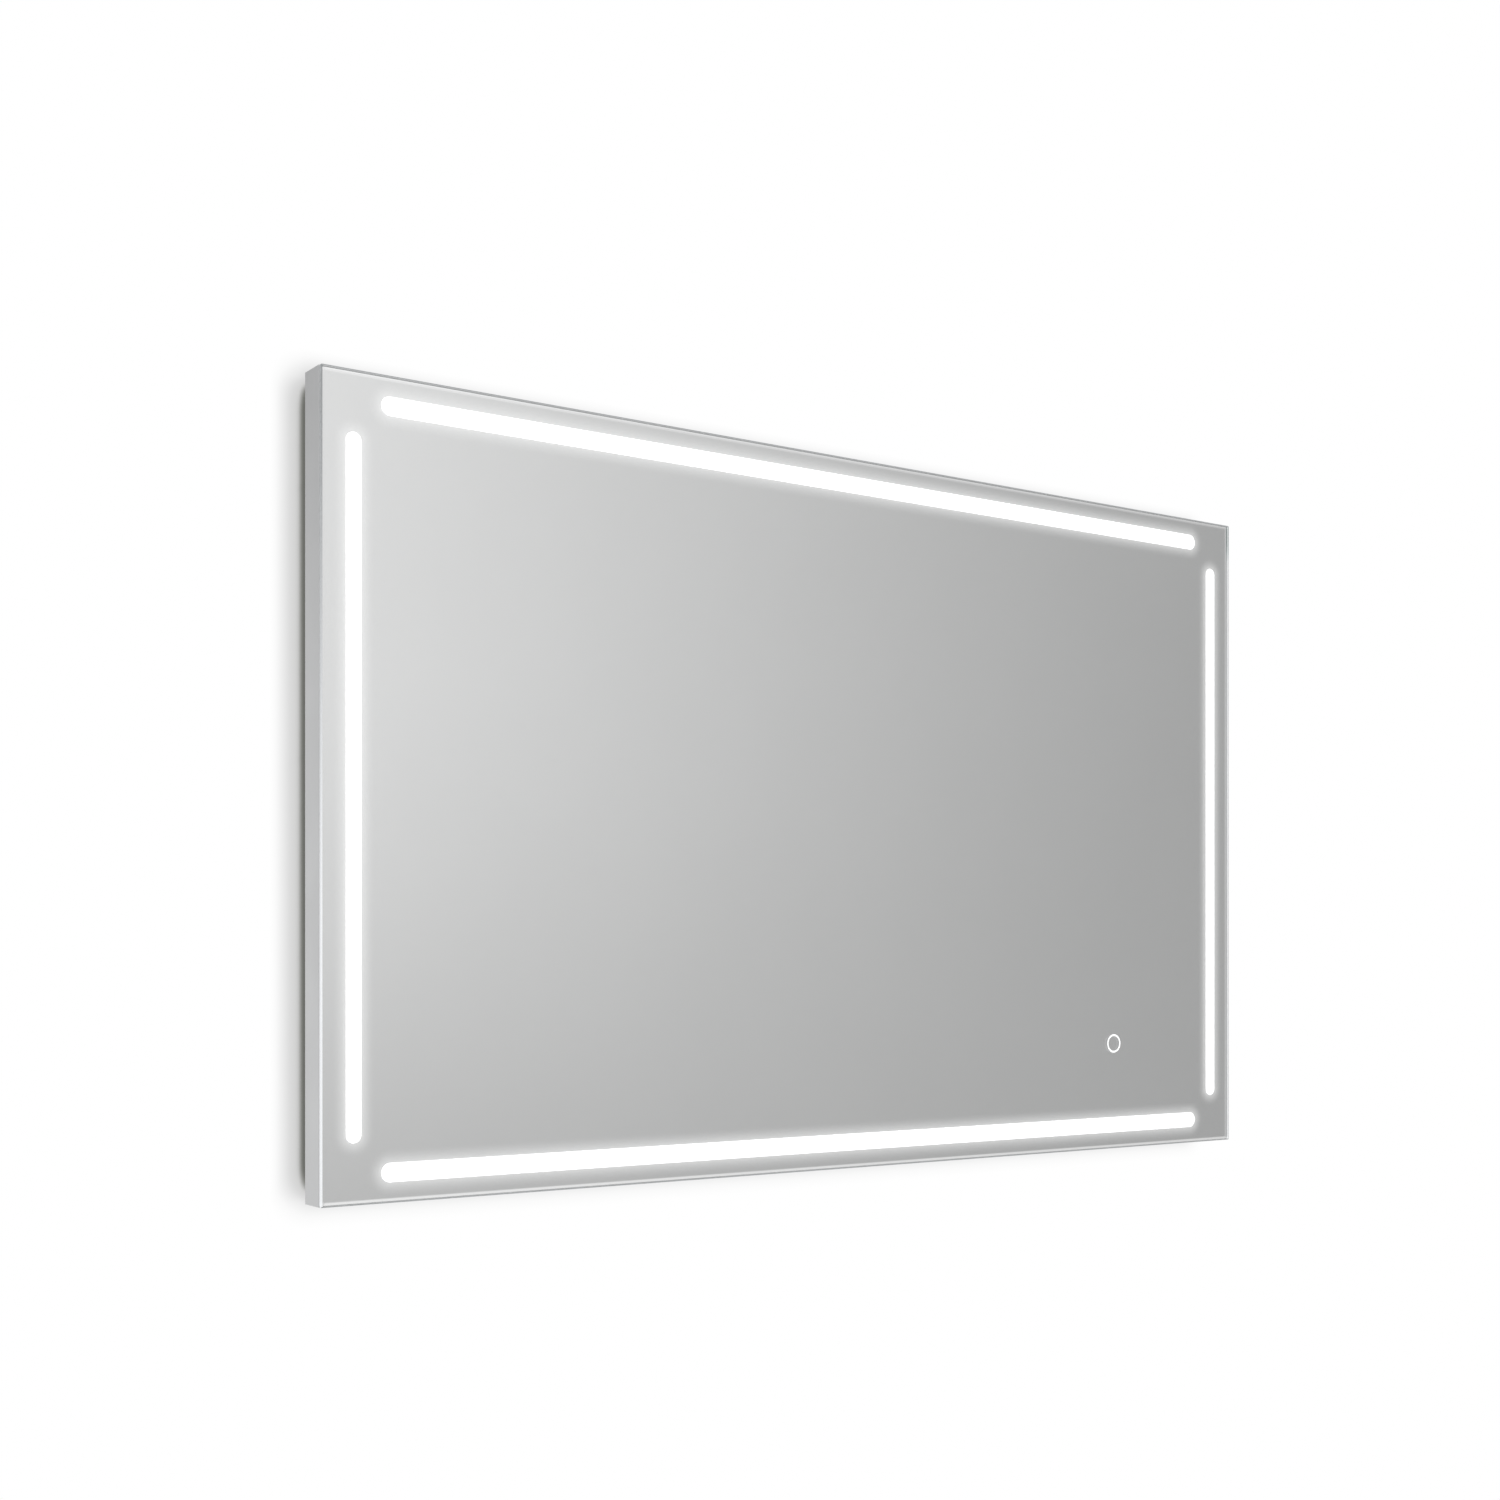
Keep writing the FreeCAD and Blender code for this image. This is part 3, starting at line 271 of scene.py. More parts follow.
@dataclass(frozen=True)
class LitSlots:
    """The four light windows: slots with round ends, two level and two upright."""

    across_up: float = 324.5 * MM
    across_reach: float = 486.8 * MM
    across_radius: float = 8.2 * MM
    upright_across: float = 520.0 * MM
    upright_reach: float = 291.0 * MM
    upright_radius: float = 7.0 * MM

    def places(self) -> dict[str, tuple[Point, float, float, Run]]:
        """Lists the windows.

        Returns:
            By side, each one's middle, its reach to the middle of a round end, the
            radius of that end, and its run.
        """
        middle = middle_of("mirror_glass")[1]
        level = (self.across_reach, self.across_radius, Run.ACROSS)
        upright = (self.upright_reach, self.upright_radius, Run.UPRIGHT)
        return {
            "top": ((0.0, middle + self.across_up), *level),
            "bottom": ((0.0, middle - self.across_up), *level),
            "left": ((-self.upright_across, middle), *upright),
            "right": ((self.upright_across, middle), *upright),
        }

    def distance(self, bench: Bench) -> Socket:
        """Measures to the nearest window's edge, with the pane folded onto one quarter.

        Args:
            bench: The material under way.

        Returns:
            The distance in metres, negative inside a window.
        """
        place = bench.axes(bench.place())
        across = bench.math("ABSOLUTE", place[0])
        height = bench.math("SUBTRACT", place[2], middle_of("mirror_glass")[1])
        up = bench.math("ABSOLUTE", height)
        found = []
        for run, reach, off, at, radius in (
            (across, self.across_reach, up, self.across_up, self.across_radius),
            (up, self.upright_reach, across, self.upright_across, self.upright_radius),
        ):
            past = bench.math("MAXIMUM", bench.math("SUBTRACT", run, reach), 0.0)
            beside = bench.math("SUBTRACT", off, at)
            squares = [bench.math("MULTIPLY", side, side) for side in (past, beside)]
            length = bench.math("SQRT", bench.math("ADD", *squares))
            found.append(bench.math("SUBTRACT", length, radius))
        return bench.math("MINIMUM", *found)


@dataclass(frozen=True)
class Silver(Finish):
    """Silver behind the glass, with a painted glow near the windows that stands in for light
    leaking from them.
    """

    name: str = "silver_coat"
    slots: LitSlots = LitSlots()
    colour: Triple = (0.975, 0.97, 0.972)
    clouded: Triple = (0.966, 0.961, 0.963)
    cloud_scale: float = 9.0
    film_scale: float = 60.0
    film: Band = (0.3, 0.8)
    roughness: Band = (0.0, 0.012)
    # painted glow near the windows: its strength, how far it reaches and how it falls off
    painted_glow: float = 0.46
    glow_reach: float = 12 * MM
    glow_fall: float = 1.6
    backing: Triple = (0.36, 0.35, 0.33)
    brushed: Triple = (0.42, 0.41, 0.39)
    brush_scale: float = 900.0
    brush_way: Triple = (1.0, 1.0, 0.05)
    backing_roughness: float = 0.5
    back_from: float = -0.5

    def paint(self, bench: Bench) -> None:
        """Paints the silver with its painted glow near the windows, and its backing paint on the
        other side.

        Args:
            bench: The material under way.
        """
        # painted glow: emission on the silver near each window, with the silver's colour dimmed
        # towards black as the glow grows
        near = bench.math("DIVIDE", self.slots.distance(bench), self.glow_reach)
        left = bench.math("MAXIMUM", bench.math("SUBTRACT", 1.0, near), 0.0)
        fall = bench.math("POWER", bench.math("MINIMUM", left, 1.0), self.glow_fall)
        painted_glow = bench.math("MULTIPLY", fall, self.painted_glow)
        facing = bench.axes(bench.add("NewGeometry").outputs["True Normal"])[1]
        painted = bench.math("GREATER_THAN", facing, self.back_from)
        clear = bench.math("SUBTRACT", 1.0, painted)
        cloud = bench.spread(bench.noise(self.cloud_scale), MIDDLE)
        dimmed_under_glow = bench.blend(painted_glow, bench.blend(cloud, self.colour, self.clouded), BLACK)
        brush = bench.noise(self.brush_scale, self.brush_way)
        back = bench.blend(brush, self.backing, self.brushed)
        smooth = bench.spread(bench.noise(self.film_scale, detail=4.0), self.film, self.roughness)
        matt = bench.math("MULTIPLY", painted, self.backing_roughness)
        bench.shine(
            Base_Color=bench.blend(painted, dimmed_under_glow, back),
            Metallic=clear,
            Roughness=bench.math("ADD", smooth, matt),
            Emission_Color=WHITE,
            Emission_Strength=bench.math("MULTIPLY", painted_glow, clear),
        )


@dataclass(frozen=True)
class FloatGlass(Finish):
    """Clear float glass, polished flat, with a faint film on it."""

    # glow is a painted glow, used on the narrow bevel in place of light that it gathers
    glow: float = 0.0
    colour: Triple = (0.994, 1.0, 0.998)
    film_scale: float = 7.0
    film_way: Triple = (1.0, 1.0, 0.35)
    film: Band = (0.45, 0.8)
    roughness: Band = (0.0, 0.01)

    def paint(self, bench: Bench) -> None:
        """Paints the glass, with a painted glow where a narrow bevel would gather light.

        Args:
            bench: The material under way.
        """
        film = bench.noise(self.film_scale, self.film_way, detail=5.0)
        bench.shine(
            Base_Color=self.colour,
            Transmission_Weight=1.0,
            IOR=GLASS_IOR,
            Roughness=bench.spread(film, self.film, self.roughness),
            Emission_Color=WHITE,
            Emission_Strength=self.glow,
        )


@dataclass(frozen=True)
class GroundEdge(Finish):
    """A ground face of the glass's rim, with a painted glow that stands in for light it carries
    from inside.
    """

    # strength of the painted glow high up and low down, and the heights between which it changes
    glow_high: float
    glow_low: float
    high: float = 100 * MM
    low: float = -550 * MM
    # at_top and below tint the painted glow high up and low down
    at_top: Triple = (0.97, 0.98, 1.0)
    below: Triple = (0.97, 0.98, 1.0)
    ground: Triple = (0.26, 0.27, 0.28)
    wheeled: Triple = (0.30, 0.32, 0.32)
    wheel_scale: float = 4000.0
    wheel_way: Triple = (0.06, 1.0, 0.06)
    wheel_depth: float = 0.03 * MM
    roughness: Band = (0.22, 0.5)
    clearness: float = 0.35

    def paint(self, bench: Bench) -> None:
        """Paints the rim, whose painted glow and its tint change from high to low.

        Args:
            bench: The material under way.
        """
        wheel = bench.noise(self.wheel_scale, self.wheel_way, detail=2.0)
        up = bench.axes(bench.place())[2]
        glow = (self.glow_high, self.glow_low)
        bench.shine(
            Base_Color=bench.blend(wheel, self.ground, self.wheeled),
            Roughness=bench.spread(wheel, MIDDLE, self.roughness),
            Transmission_Weight=self.clearness,
            IOR=GLASS_IOR,
            Emission_Color=bench.blend(
                bench.spread(up, (self.low, self.high)), self.below, self.at_top
            ),
            Emission_Strength=bench.spread(up, (self.high, self.low), glow),
        )
        bench.relief(wheel, self.wheel_depth, strength=0.4)


@dataclass(frozen=True)
class LitWhite(Finish):
    """Opal acrylic or frosted glass with the light strips shining through."""

    glow: float = 1.12
    ripple: float = 0.06
    chip_pitch: float = 16 * MM
    chip_band: Band = (0.0, 0.7)
    colour: Triple = (0.93, 0.94, 0.95)
    frosted: Triple = (0.97, 0.975, 0.98)
    frost_scale: float = 2600.0
    frost_depth: float = 0.02 * MM
    roughness: Band = (0.42, 0.6)

    def paint(self, bench: Bench) -> None:
        """Paints a white that glows a little more over each chip.

        Args:
            bench: The material under way.
        """
        frost = bench.noise(self.frost_scale)
        dots = bench.cells(1 / self.chip_pitch)
        glow = (self.glow + self.ripple, self.glow)
        bench.shine(
            Base_Color=bench.blend(frost, self.colour, self.frosted),
            Roughness=bench.spread(frost, MIDDLE, self.roughness),
            Emission_Color=WHITE,
            Emission_Strength=bench.spread(dots, self.chip_band, glow),
        )
        bench.relief(frost, self.frost_depth, strength=0.5)


@dataclass(frozen=True)
class Metal(Finish):
    """A bare metal with lines from brushing or drawing, and paler worn edges."""

    colour: Triple
    grain: Grain
    line_scale: float = 3200.0
    tone: float = 0.06
    roughness: Band = (0.24, 0.42)
    line_depth: float = 0.012 * MM
    lines: Band = (0.25, 0.75)
    clouds: Band = (0.35, 0.75)
    cloud_share: Band = (0.0, 0.5)
    cloud_scale: float = 11.0
    worn: float = 0.3 * MM
    wear: float = 0.6

    def paint(self, bench: Bench) -> None:
        """Paints the metal.

        Args:
            bench: The material under way.
        """
        lines = bench.noise(self.line_scale, self.grain.value)
        cloud = bench.noise(self.cloud_scale)
        darker = tuple(part * (1 - self.tone) for part in self.colour)
        paler = tuple(min(1.0, part * (1 + self.tone)) for part in self.colour)
        drawn = bench.blend(bench.spread(lines, self.lines), darker, self.colour)
        clouded = bench.blend(bench.spread(cloud, self.clouds, self.cloud_share), drawn, paler)
        edge = bench.math("MULTIPLY", bench.outside(self.worn), self.wear)
        bench.shine(
            Base_Color=bench.blend(edge, clouded, paler),
            Metallic=1.0,
            Roughness=bench.spread(lines, self.lines, self.roughness),
        )
        bench.relief(lines, self.line_depth, strength=0.5)


@dataclass(frozen=True)
class Plating(Finish):
    """Zinc plate on small steel pieces: pale, with faint warm and cool clouds."""

    name: str = "zinc_plate"
    cool: Triple = (0.62, 0.65, 0.69)
    warm: Triple = (0.70, 0.68, 0.62)
    speck: Triple = (0.5, 0.5, 0.5)
    cloud_scale: float = 260.0
    clouds: Band = (0.35, 0.65)
    grit_scale: float = 5200.0
    grit_depth: float = 0.02 * MM
    specks: Band = (0.5, 0.9)
    speck_share: Band = (0.0, 0.5)
    roughness: Band = (0.24, 0.44)

    def paint(self, bench: Bench) -> None:
        """Paints the plating.

        Args:
            bench: The material under way.
        """
        cloud = bench.noise(self.cloud_scale)
        grit = bench.noise(self.grit_scale)
        hue = bench.blend(bench.spread(cloud, self.clouds), self.cool, self.warm)
        speck = bench.spread(grit, self.specks, self.speck_share)
        bench.shine(
            Base_Color=bench.blend(speck, hue, self.speck),
            Metallic=1.0,
            Roughness=bench.spread(grit, MIDDLE, self.roughness),
        )
        bench.relief(grit, self.grit_depth, strength=0.4)


@dataclass(frozen=True)
class PowderCoat(Finish):
    """Light grey powder coat on sheet steel, with its orange peel."""

    name: str = "powder_coat"
    colour: Triple = (0.72, 0.73, 0.74)
    clouded: Triple = (0.68, 0.69, 0.70)
    speck: Triple = (0.5, 0.51, 0.52)
    rubbed: Triple = (0.86, 0.87, 0.88)
    peel_scale: float = 750.0
    peel_depth: float = 0.08 * MM
    speck_scale: float = 2400.0
    specks: Band = (0.25, 0.05)
    speck_share: Band = (0.0, 0.12)
    speck_height: float = 0.3
    cloud_scale: float = 5.0
    clouds: Band = (0.35, 0.7)
    roughness: Band = (0.44, 0.6)
    worn: float = 0.5 * MM
    wear: float = 0.35

    def paint(self, bench: Bench) -> None:
        """Paints the coat, a little rubbed on the edges.

        Args:
            bench: The material under way.
        """
        peel = bench.noise(self.peel_scale, detail=2.0)
        speck = bench.cells(self.speck_scale)
        cloud = bench.noise(self.cloud_scale, detail=4.0)
        tone = bench.blend(bench.spread(cloud, self.clouds), self.colour, self.clouded)
        dots = bench.spread(speck, self.specks, self.speck_share)
        edge = bench.math("MULTIPLY", bench.outside(self.worn), self.wear)
        bench.shine(
            Base_Color=bench.blend(edge, bench.blend(dots, tone, self.speck), self.rubbed),
            Roughness=bench.spread(peel, MIDDLE, self.roughness),
        )
        height = bench.math("ADD", peel, bench.math("MULTIPLY", speck, self.speck_height))
        bench.relief(height, self.peel_depth, strength=0.35)


@dataclass(frozen=True)
class Moulded(Finish):
    """Moulded plastic, rubber or foam with a fine grain of its own."""

    colour: Triple
    other: Triple
    grain_scale: float
    grain_depth: float
    roughness: Band
    grains: Band = (0.1, 0.7)
    grain_share: float = 0.5
    cloud_scale: float = 35.0
    clouds: Band = (0.4, 1.0)

    def paint(self, bench: Bench) -> None:
        """Paints the moulded surface.

        Args:
            bench: The material under way.
        """
        grain = bench.cells(self.grain_scale)
        cloud = bench.noise(self.cloud_scale, detail=4.0)
        mixed = bench.math("ADD", bench.math("MULTIPLY", grain, self.grain_share), cloud)
        bench.shine(
            Base_Color=bench.blend(bench.spread(mixed, self.clouds), self.colour, self.other),
            Roughness=bench.spread(grain, self.grains, self.roughness),
        )
        bench.relief(grain, self.grain_depth, strength=0.5)


@dataclass(frozen=True)
class Board(Finish):
    """Circuit board: lacquer over copper tracks, with bare pads."""

    lacquer: Triple
    track: Triple
    pad: Triple
    track_scale: float
    pads_to_tracks: float = 1.7
    pad_rim: Band = (0.10, 0.16)
    pad_metal: float = 0.8
    track_rim: Band = (0.02, 0.07)
    track_step: Band = (0.02, 0.08)
    track_depth: float = 0.04 * MM
    lacquered: Band = (0.0, 0.2)
    roughness: Band = (0.28, 0.42)

    def paint(self, bench: Bench) -> None:
        """Paints the board.

        Args:
            bench: The material under way.
        """
        walls = bench.cells(self.track_scale, "DISTANCE_TO_EDGE")
        spots = bench.cells(self.track_scale * self.pads_to_tracks)
        tracks = bench.spread(walls, self.track_rim, (1.0, 0.0))
        pads = bench.spread(spots, self.pad_rim, (1.0, 0.0))
        bench.shine(
            Base_Color=bench.blend(pads, bench.blend(tracks, self.lacquer, self.track), self.pad),
            Metallic=bench.math("MULTIPLY", pads, self.pad_metal),
            Roughness=bench.spread(walls, self.lacquered, self.roughness),
        )
        steps = bench.spread(walls, self.track_step, (1.0, 0.0))
        bench.relief(steps, self.track_depth, strength=0.6)


ZINC = Plating()
RUBBER = Moulded(
    "moulded_rubber", (0.028, 0.028, 0.03), (0.05, 0.05, 0.052), 2200.0, 0.05 * MM, (0.55, 0.8)
)


# --- meshes ------------------------------------------------------------------------------


def put(name: str, data: bpy.types.ID) -> bpy.types.Object:
    """Puts an object into the scene.

    Args:
        name: What it is called.
        data: Its mesh, curve, light or camera.

    Returns:
        The object.
    """
    holder = bpy.data.objects.new(name, data)
    bpy.context.scene.collection.objects.link(holder)
    return holder


def settle(mesh: Mesh, weld: float) -> Mesh:
    """Welds a mesh, cuts its wide caps into triangles and turns its faces outward.

    Args:
        mesh: The mesh, which changes.
        weld: Points nearer to each other than this become one.

    Returns:
        The same mesh.
    """
    bm = bmesh.new()
    bm.from_mesh(mesh)
    bmesh.ops.remove_doubles(bm, verts=bm.verts, dist=weld)
    bmesh.ops.triangulate(bm, faces=[face for face in bm.faces if len(face.verts) > 4])
    bmesh.ops.recalc_face_normals(bm, faces=bm.faces)
    bm.to_mesh(mesh)
    bm.free()
    return mesh


def skin(name: str, rings: Sequence[Sequence[Vector]], caps: bool = True) -> Mesh:
    """Skins closed rings of equally many points, one after another.

    Args:
        name: What the mesh is called.
        rings: The rings.
        caps: True to close both ends, False to join the last ring to the first.

    Returns:
        The mesh.
    """
    count = len(rings[0])
    starts = [count * number for number in range(len(rings))]
    bands = list(zip(starts, starts[1:]))
    if not caps:
        bands.append((starts[-1], 0))
    faces = [
        (near + i, near + (i + 1) % count, far + (i + 1) % count, far + i)
        for near, far in bands
        for i in range(count)
    ]
    if caps:
        faces.append(tuple(reversed(range(count))))
        faces.append(tuple(range(starts[-1], starts[-1] + count)))
    made = bpy.data.meshes.new(name)
    made.from_pydata([tuple(point) for ring in rings for point in ring], [], faces)
    return settle(made, WELD)


def rounded(corners: Sequence[Point], radii: Sequence[float], steps: int = 3) -> list[Point]:
    """Rounds the corners of a closed outline.

    Args:
        corners: The outline's corners in order.
        radii: A radius for each corner, or one for all.
        steps: Straight parts in each rounding.

    Returns:
        The rounded outline.
    """
    out: list[Point] = []
    count = len(corners)
    for i, corner in enumerate(corners):
        radius = radii[i % len(radii)]
        here = Vector(corner)
        back = (Vector(corners[i - 1]) - here).normalized()
        on = (Vector(corners[(i + 1) % count]) - here).normalized()
        half = back.angle(on) / 2
        reach = radius / math.tan(half)
        middle = here + (back + on).normalized() * (radius / math.sin(half))
        first = (here + back * reach - middle).normalized()
        last = (here + on * reach - middle).normalized()
        for step in range(steps + 1):
            out.append(tuple(middle + first.slerp(last, step / steps) * radius))
    return out


def slot_outline(
    middle: Point, reach: float, radius: float, run: Run, steps: int = 20
) -> list[Point]:
    """Outlines a slot with round ends.

    Args:
        middle: Its middle.
        reach: Middle to the middle of each round end.
        radius: Radius of the ends.
        run: Which way it lies.
        steps: Straight parts in each end.

    Returns:
        The outline in order.
    """
    out: list[Point] = []
    for side, start in ((1, -math.pi / 2), (-1, math.pi / 2)):
        for step in range(steps + 1):
            angle = start + math.pi * step / steps
            along = reach * side + radius * math.cos(angle)
            beside = radius * math.sin(angle)
            across, up = (along, beside) if run is Run.ACROSS else (-beside, along)
            out.append((middle[0] + across, middle[1] + up))
    return out


def circle_outline(middle: Point, radius: float, steps: int = 32) -> list[Point]:
    """Outlines a circle in so many straight parts."""
    turns = [2 * math.pi * step / steps for step in range(steps)]
    return [(middle[0] + radius * math.cos(t), middle[1] + radius * math.sin(t)) for t in turns]


def box_outline(
    low: Point, high: Point, inset: float, radius: float, steps: int = 4
) -> list[Point]:
    """Outlines a rectangle with round corners.

    Args:
        low: Its lowest corner.
        high: Its highest corner.
        inset: How far in from both the outline lies.
        radius: Radius of the corners.
        steps: Straight parts in each corner.

    Returns:
        The outline in order.
    """
    left, bottom, right, top = low[0] + inset, low[1] + inset, high[0] - inset, high[1] - inset
    corners = ((left, bottom), (right, bottom), (right, top), (left, top))
    return rounded(corners, (radius,), steps)


def upright_ring(outline: Iterable[Point], depth: float) -> list[Vector]:
    """Stands an outline up parallel to the wall, at a depth along Y."""
    return [Vector((across, depth, up)) for across, up in outline]


def turned(
    name: str, profile: Iterable[Point], middle: Point, bore: bool = False, steps: int = 40
) -> Mesh:
    """Turns a profile about an axis that stands square to the wall.

    Args:
        name: What the mesh is called.
        profile: Points of radius and depth along Y.
        middle: Where the axis stands.
        bore: True where the profile is a loop, which leaves a bore.
        steps: Facets round the axis.

    Returns:
        The mesh.
    """
    rings = [
        upright_ring(circle_outline(middle, max(radius, NEAR_AXIS), steps), depth)
        for radius, depth in profile
    ]
    return skin(name, rings, caps=not bore)


def plate(
    name: str, outlines: Sequence[Sequence[Point]], front: float, back: float, soft: float
) -> Mesh:
    """Makes a sheet parallel to the wall, with holes and softened edges.

    Args:
        name: What the mesh is called.
        outlines: Its outer outline, then its holes.
        front: Depth of its front face along Y.
        back: Depth of its back face along Y.
        soft: Radius of its edges.

    Returns:
        The mesh.
    """
    curve = bpy.data.curves.new(name + "_outline", "CURVE")
    curve.dimensions = "2D"
    curve.fill_mode = "BOTH"
    curve.extrude = abs(back - front) / 2 - soft
    curve.bevel_depth = soft
    curve.offset = -soft
    curve.bevel_resolution = 1
    for outline in outlines:
        spline = curve.splines.new("POLY")
        spline.points.add(len(outline) - 1)
        for point, (across, up) in zip(spline.points, outline):
            point.co = (across, up, 0.0, 1.0)
        spline.use_cyclic_u = True
    holder = put(curve.name, curve)
    view = bpy.context.evaluated_depsgraph_get()
    made = bpy.data.meshes.new_from_object(holder.evaluated_get(view))
    bpy.data.objects.remove(holder)
    made.transform(Matrix.Rotation(math.pi / 2, 4, "X"))
    made.transform(Matrix.Translation((0.0, (front + back) / 2, 0.0)))
    return settle(made, CURVE_WELD)


def cut(mesh: Mesh, cutter: Mesh) -> Mesh:
    """Takes one solid out of another.

    Args:
        mesh: The solid that stays.
        cutter: What is taken out.

    Returns:
        The cut mesh.
    """
    holders = [put(part.name + "_work", part) for part in (mesh, cutter)]
    step = holders[0].modifiers.new("cut", "BOOLEAN")
    step.operation = "DIFFERENCE"
    step.solver = "EXACT"
    step.object = holders[1]
    bpy.context.view_layer.update()
    view = bpy.context.evaluated_depsgraph_get()
    made = bpy.data.meshes.new_from_object(holders[0].evaluated_get(view))
    for holder in holders:
        bpy.data.objects.remove(holder)
    return made


def copies(mesh: Mesh, spots: Sequence[Point]) -> Mesh:
    """Puts copies of a mesh at several places as one mesh.

    Args:
        mesh: The mesh, standing at X = Z = 0.
        spots: Where the copies go, across and up.

    Returns:
        The joined mesh.
    """
    bm = bmesh.new()
    for across, up in spots:
        one = mesh.copy()
        one.transform(Matrix.Translation((across, 0.0, up)))
        bm.from_mesh(one)
        bpy.data.meshes.remove(one)
    made = bpy.data.meshes.new(mesh.name + "_group")
    bm.to_mesh(made)
    bm.free()
    return made


def show(
    name: str,
    mesh: Mesh,
    finishes: Sequence[Finish],
    stands_for: Sequence[str] = (),
    crease: float = 30.0,
    body: str = MIRROR_BODY,
) -> None:
    """Makes a piece of the object out of a mesh.

    Args:
        name: The piece's name.
        mesh: Its mesh, in place.
        finishes: Its finishes in the order of the mesh's material numbers.
        stands_for: CAD nodes that it replaces.
        crease: Edges that turn more than this many degrees stay sharp.
        body: The CAD body that it rides on.
    """
    numbers = [face.material_index for face in mesh.polygons]
    mesh.materials.clear()  # this sets every face's number to 0
    for finish in finishes:
        mesh.materials.append(finish.material())
    mesh.polygons.foreach_set("material_index", numbers)
    mesh.shade_smooth()
    mesh.set_sharp_from_angle(angle=math.radians(crease))
    for face in mesh.polygons:
        face.use_smooth = abs(face.normal.y) < FACE_ON
    piece = put(name, mesh)
    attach(piece, body)
    if stands_for:
        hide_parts(*stands_for)
    LOG.info("%s: %d faces on %s", name, len(mesh.polygons), body)


def dress(finish: Finish, *nodes: str) -> None:
    """Gives CAD nodes that stay as they are a finish.

    Args:
        finish: The finish.
        *nodes: The nodes' names.
    """
    material = finish.material()
    for name in nodes:
        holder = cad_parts[name]
        for slot in holder.material_slots:
            slot.material = material
        if not holder.material_slots:
            holder.data.materials.append(material)
        LOG.info("%s: CAD node in %s", name, material.name)


# --- the pane ----------------------------------------------------------------------------


class Rim(Enum):
    """Finishes of the pane's faces, in the order of its material numbers. They are copies of one
    glass and one ground edge, whose painted glow differs by which way a face looks, brightest low
    on the left side.
    """

    CLEAR = FloatGlass("float_glass")
    BEVEL = FloatGlass("bevelled_glass", glow=0.10)
    LOWER_BEVEL = FloatGlass("bevelled_glass_bottom", glow=0.15)
    LIP = GroundEdge("ground_lip", 0.15, 0.13)
    NEAR_LIP = GroundEdge("ground_lip_left", 0.07, 0.67, 140 * MM, -400 * MM)
    NEAR_SIDE = GroundEdge("ground_side_left", 0.20, 0.65)
    FAR_SIDE = GroundEdge("ground_side_right", 0.10, 0.34, 85 * MM, 55 * MM, GREENISH)
    LEVEL_SIDE = GroundEdge("ground_side_level", 0.10, 0.16)


@dataclass
class Pane:
    """Glass, silver, frosted windows and the touch ring."""

    slots: LitSlots = LitSlots()
    arris: float = 1.2 * MM
    bevel: Point = (3.7 * MM, 0.06 * MM)
    back_arris: float = 0.4 * MM
    corner: float = 1.3 * MM
    slight: float = 0.99
    steep: float = 0.3
    air: float = 0.03 * MM
    window_gap: float = 0.06 * MM
    ease: float = 0.05 * MM
    front_gap: float = 0.01 * MM
    back_gap: float = 0.02 * MM
    ring_middle: Point = (368.0 * MM, -486.0 * MM)
    ring_outer: float = 10.0 * MM
    ring_inner: float = 8.1 * MM

    def finish(self, normal: Vector) -> Rim:
        """Chooses how one face of the glass is finished, and so how strongly its painted glow
        shines.

        Args:
            normal: Which way it faces.

        Returns:
            Its finish.
        """
        tilt = abs(normal.y)
        at_left = -normal.x > abs(normal.z)
        if tilt > FACE_ON or (at_left and tilt > self.slight):
            return Rim.CLEAR
        if tilt > self.slight:
            return Rim.LOWER_BEVEL if -normal.z > abs(normal.x) else Rim.BEVEL
        forward = normal.y < -self.steep
        if at_left:
            return Rim.NEAR_LIP if forward else Rim.NEAR_SIDE
        if normal.x > abs(normal.z):
            return Rim.FAR_SIDE
        return Rim.LIP if forward else Rim.LEVEL_SIDE

    def glass(self) -> None:
        """Builds the pane with its narrow bevel, its arris and its ground side."""
        low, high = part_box("mirror_glass")
        rings = [
            upright_ring(
                box_outline((low.x, low.z), (high.x, high.z), inset, self.corner), depth
            )
            for inset, depth in (
                (self.bevel[0], low.y),
                (self.arris, low.y + self.bevel[1]),
                (0.0, low.y + self.arris),
                (0.0, high.y - self.back_arris - self.air),
                (self.back_arris, high.y - self.air),
            )
        ]
        mesh = skin("glass_pane", rings)
        kinds = list(Rim)
        for face in mesh.polygons:
            face.material_index = kinds.index(self.finish(face.normal))
        finishes = [kind.value for kind in kinds]
        show("glass_pane", mesh, finishes, ("mirror_glass",), crease=0.5)

    def windows(self, lit: Finish) -> None:
        """Builds the frosted places in the four openings of the silver.

        Args:
            lit: Their finish.
        """
        low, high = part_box("silvering")
        for side, (spot, reach, radius, run) in self.slots.places().items():
            name = f"frosted_window_{side}"
            rings = [
                upright_ring(
                    slot_outline(spot, reach, radius - self.window_gap - inset, run), depth
                )
                for inset, depth in (
                    (self.ease, low.y + self.front_gap),
                    (0.0, low.y + self.ease),
                    (0.0, high.y - self.back_gap),
                )
            ]
            show(name, skin(name, rings), (lit,))

    def ring(self, lit: Finish) -> None:
        """Builds the frosted line of the touch ring.

        Args:
            lit: Its finish.
        """
        low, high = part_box("silvering")
        outer, inner = self.ring_outer - self.window_gap, self.ring_inner + self.window_gap
        front, back = low.y + self.front_gap, high.y - self.back_gap
        profile = ((inner, front), (outer, front), (outer, back), (inner, back))
        mesh = turned("frosted_ring", profile, self.ring_middle, bore=True, steps=64)
        show("frosted_ring", mesh, (lit,))

    def build(self) -> None:
        """Builds and dresses the whole pane."""
        self.glass()
        self.windows(LitWhite("frosted_glass_lit"))
        self.ring(LitWhite("frosted_ring_lit", glow=1.0, ripple=0.0))
        dress(Silver(slots=self.slots), "silvering")


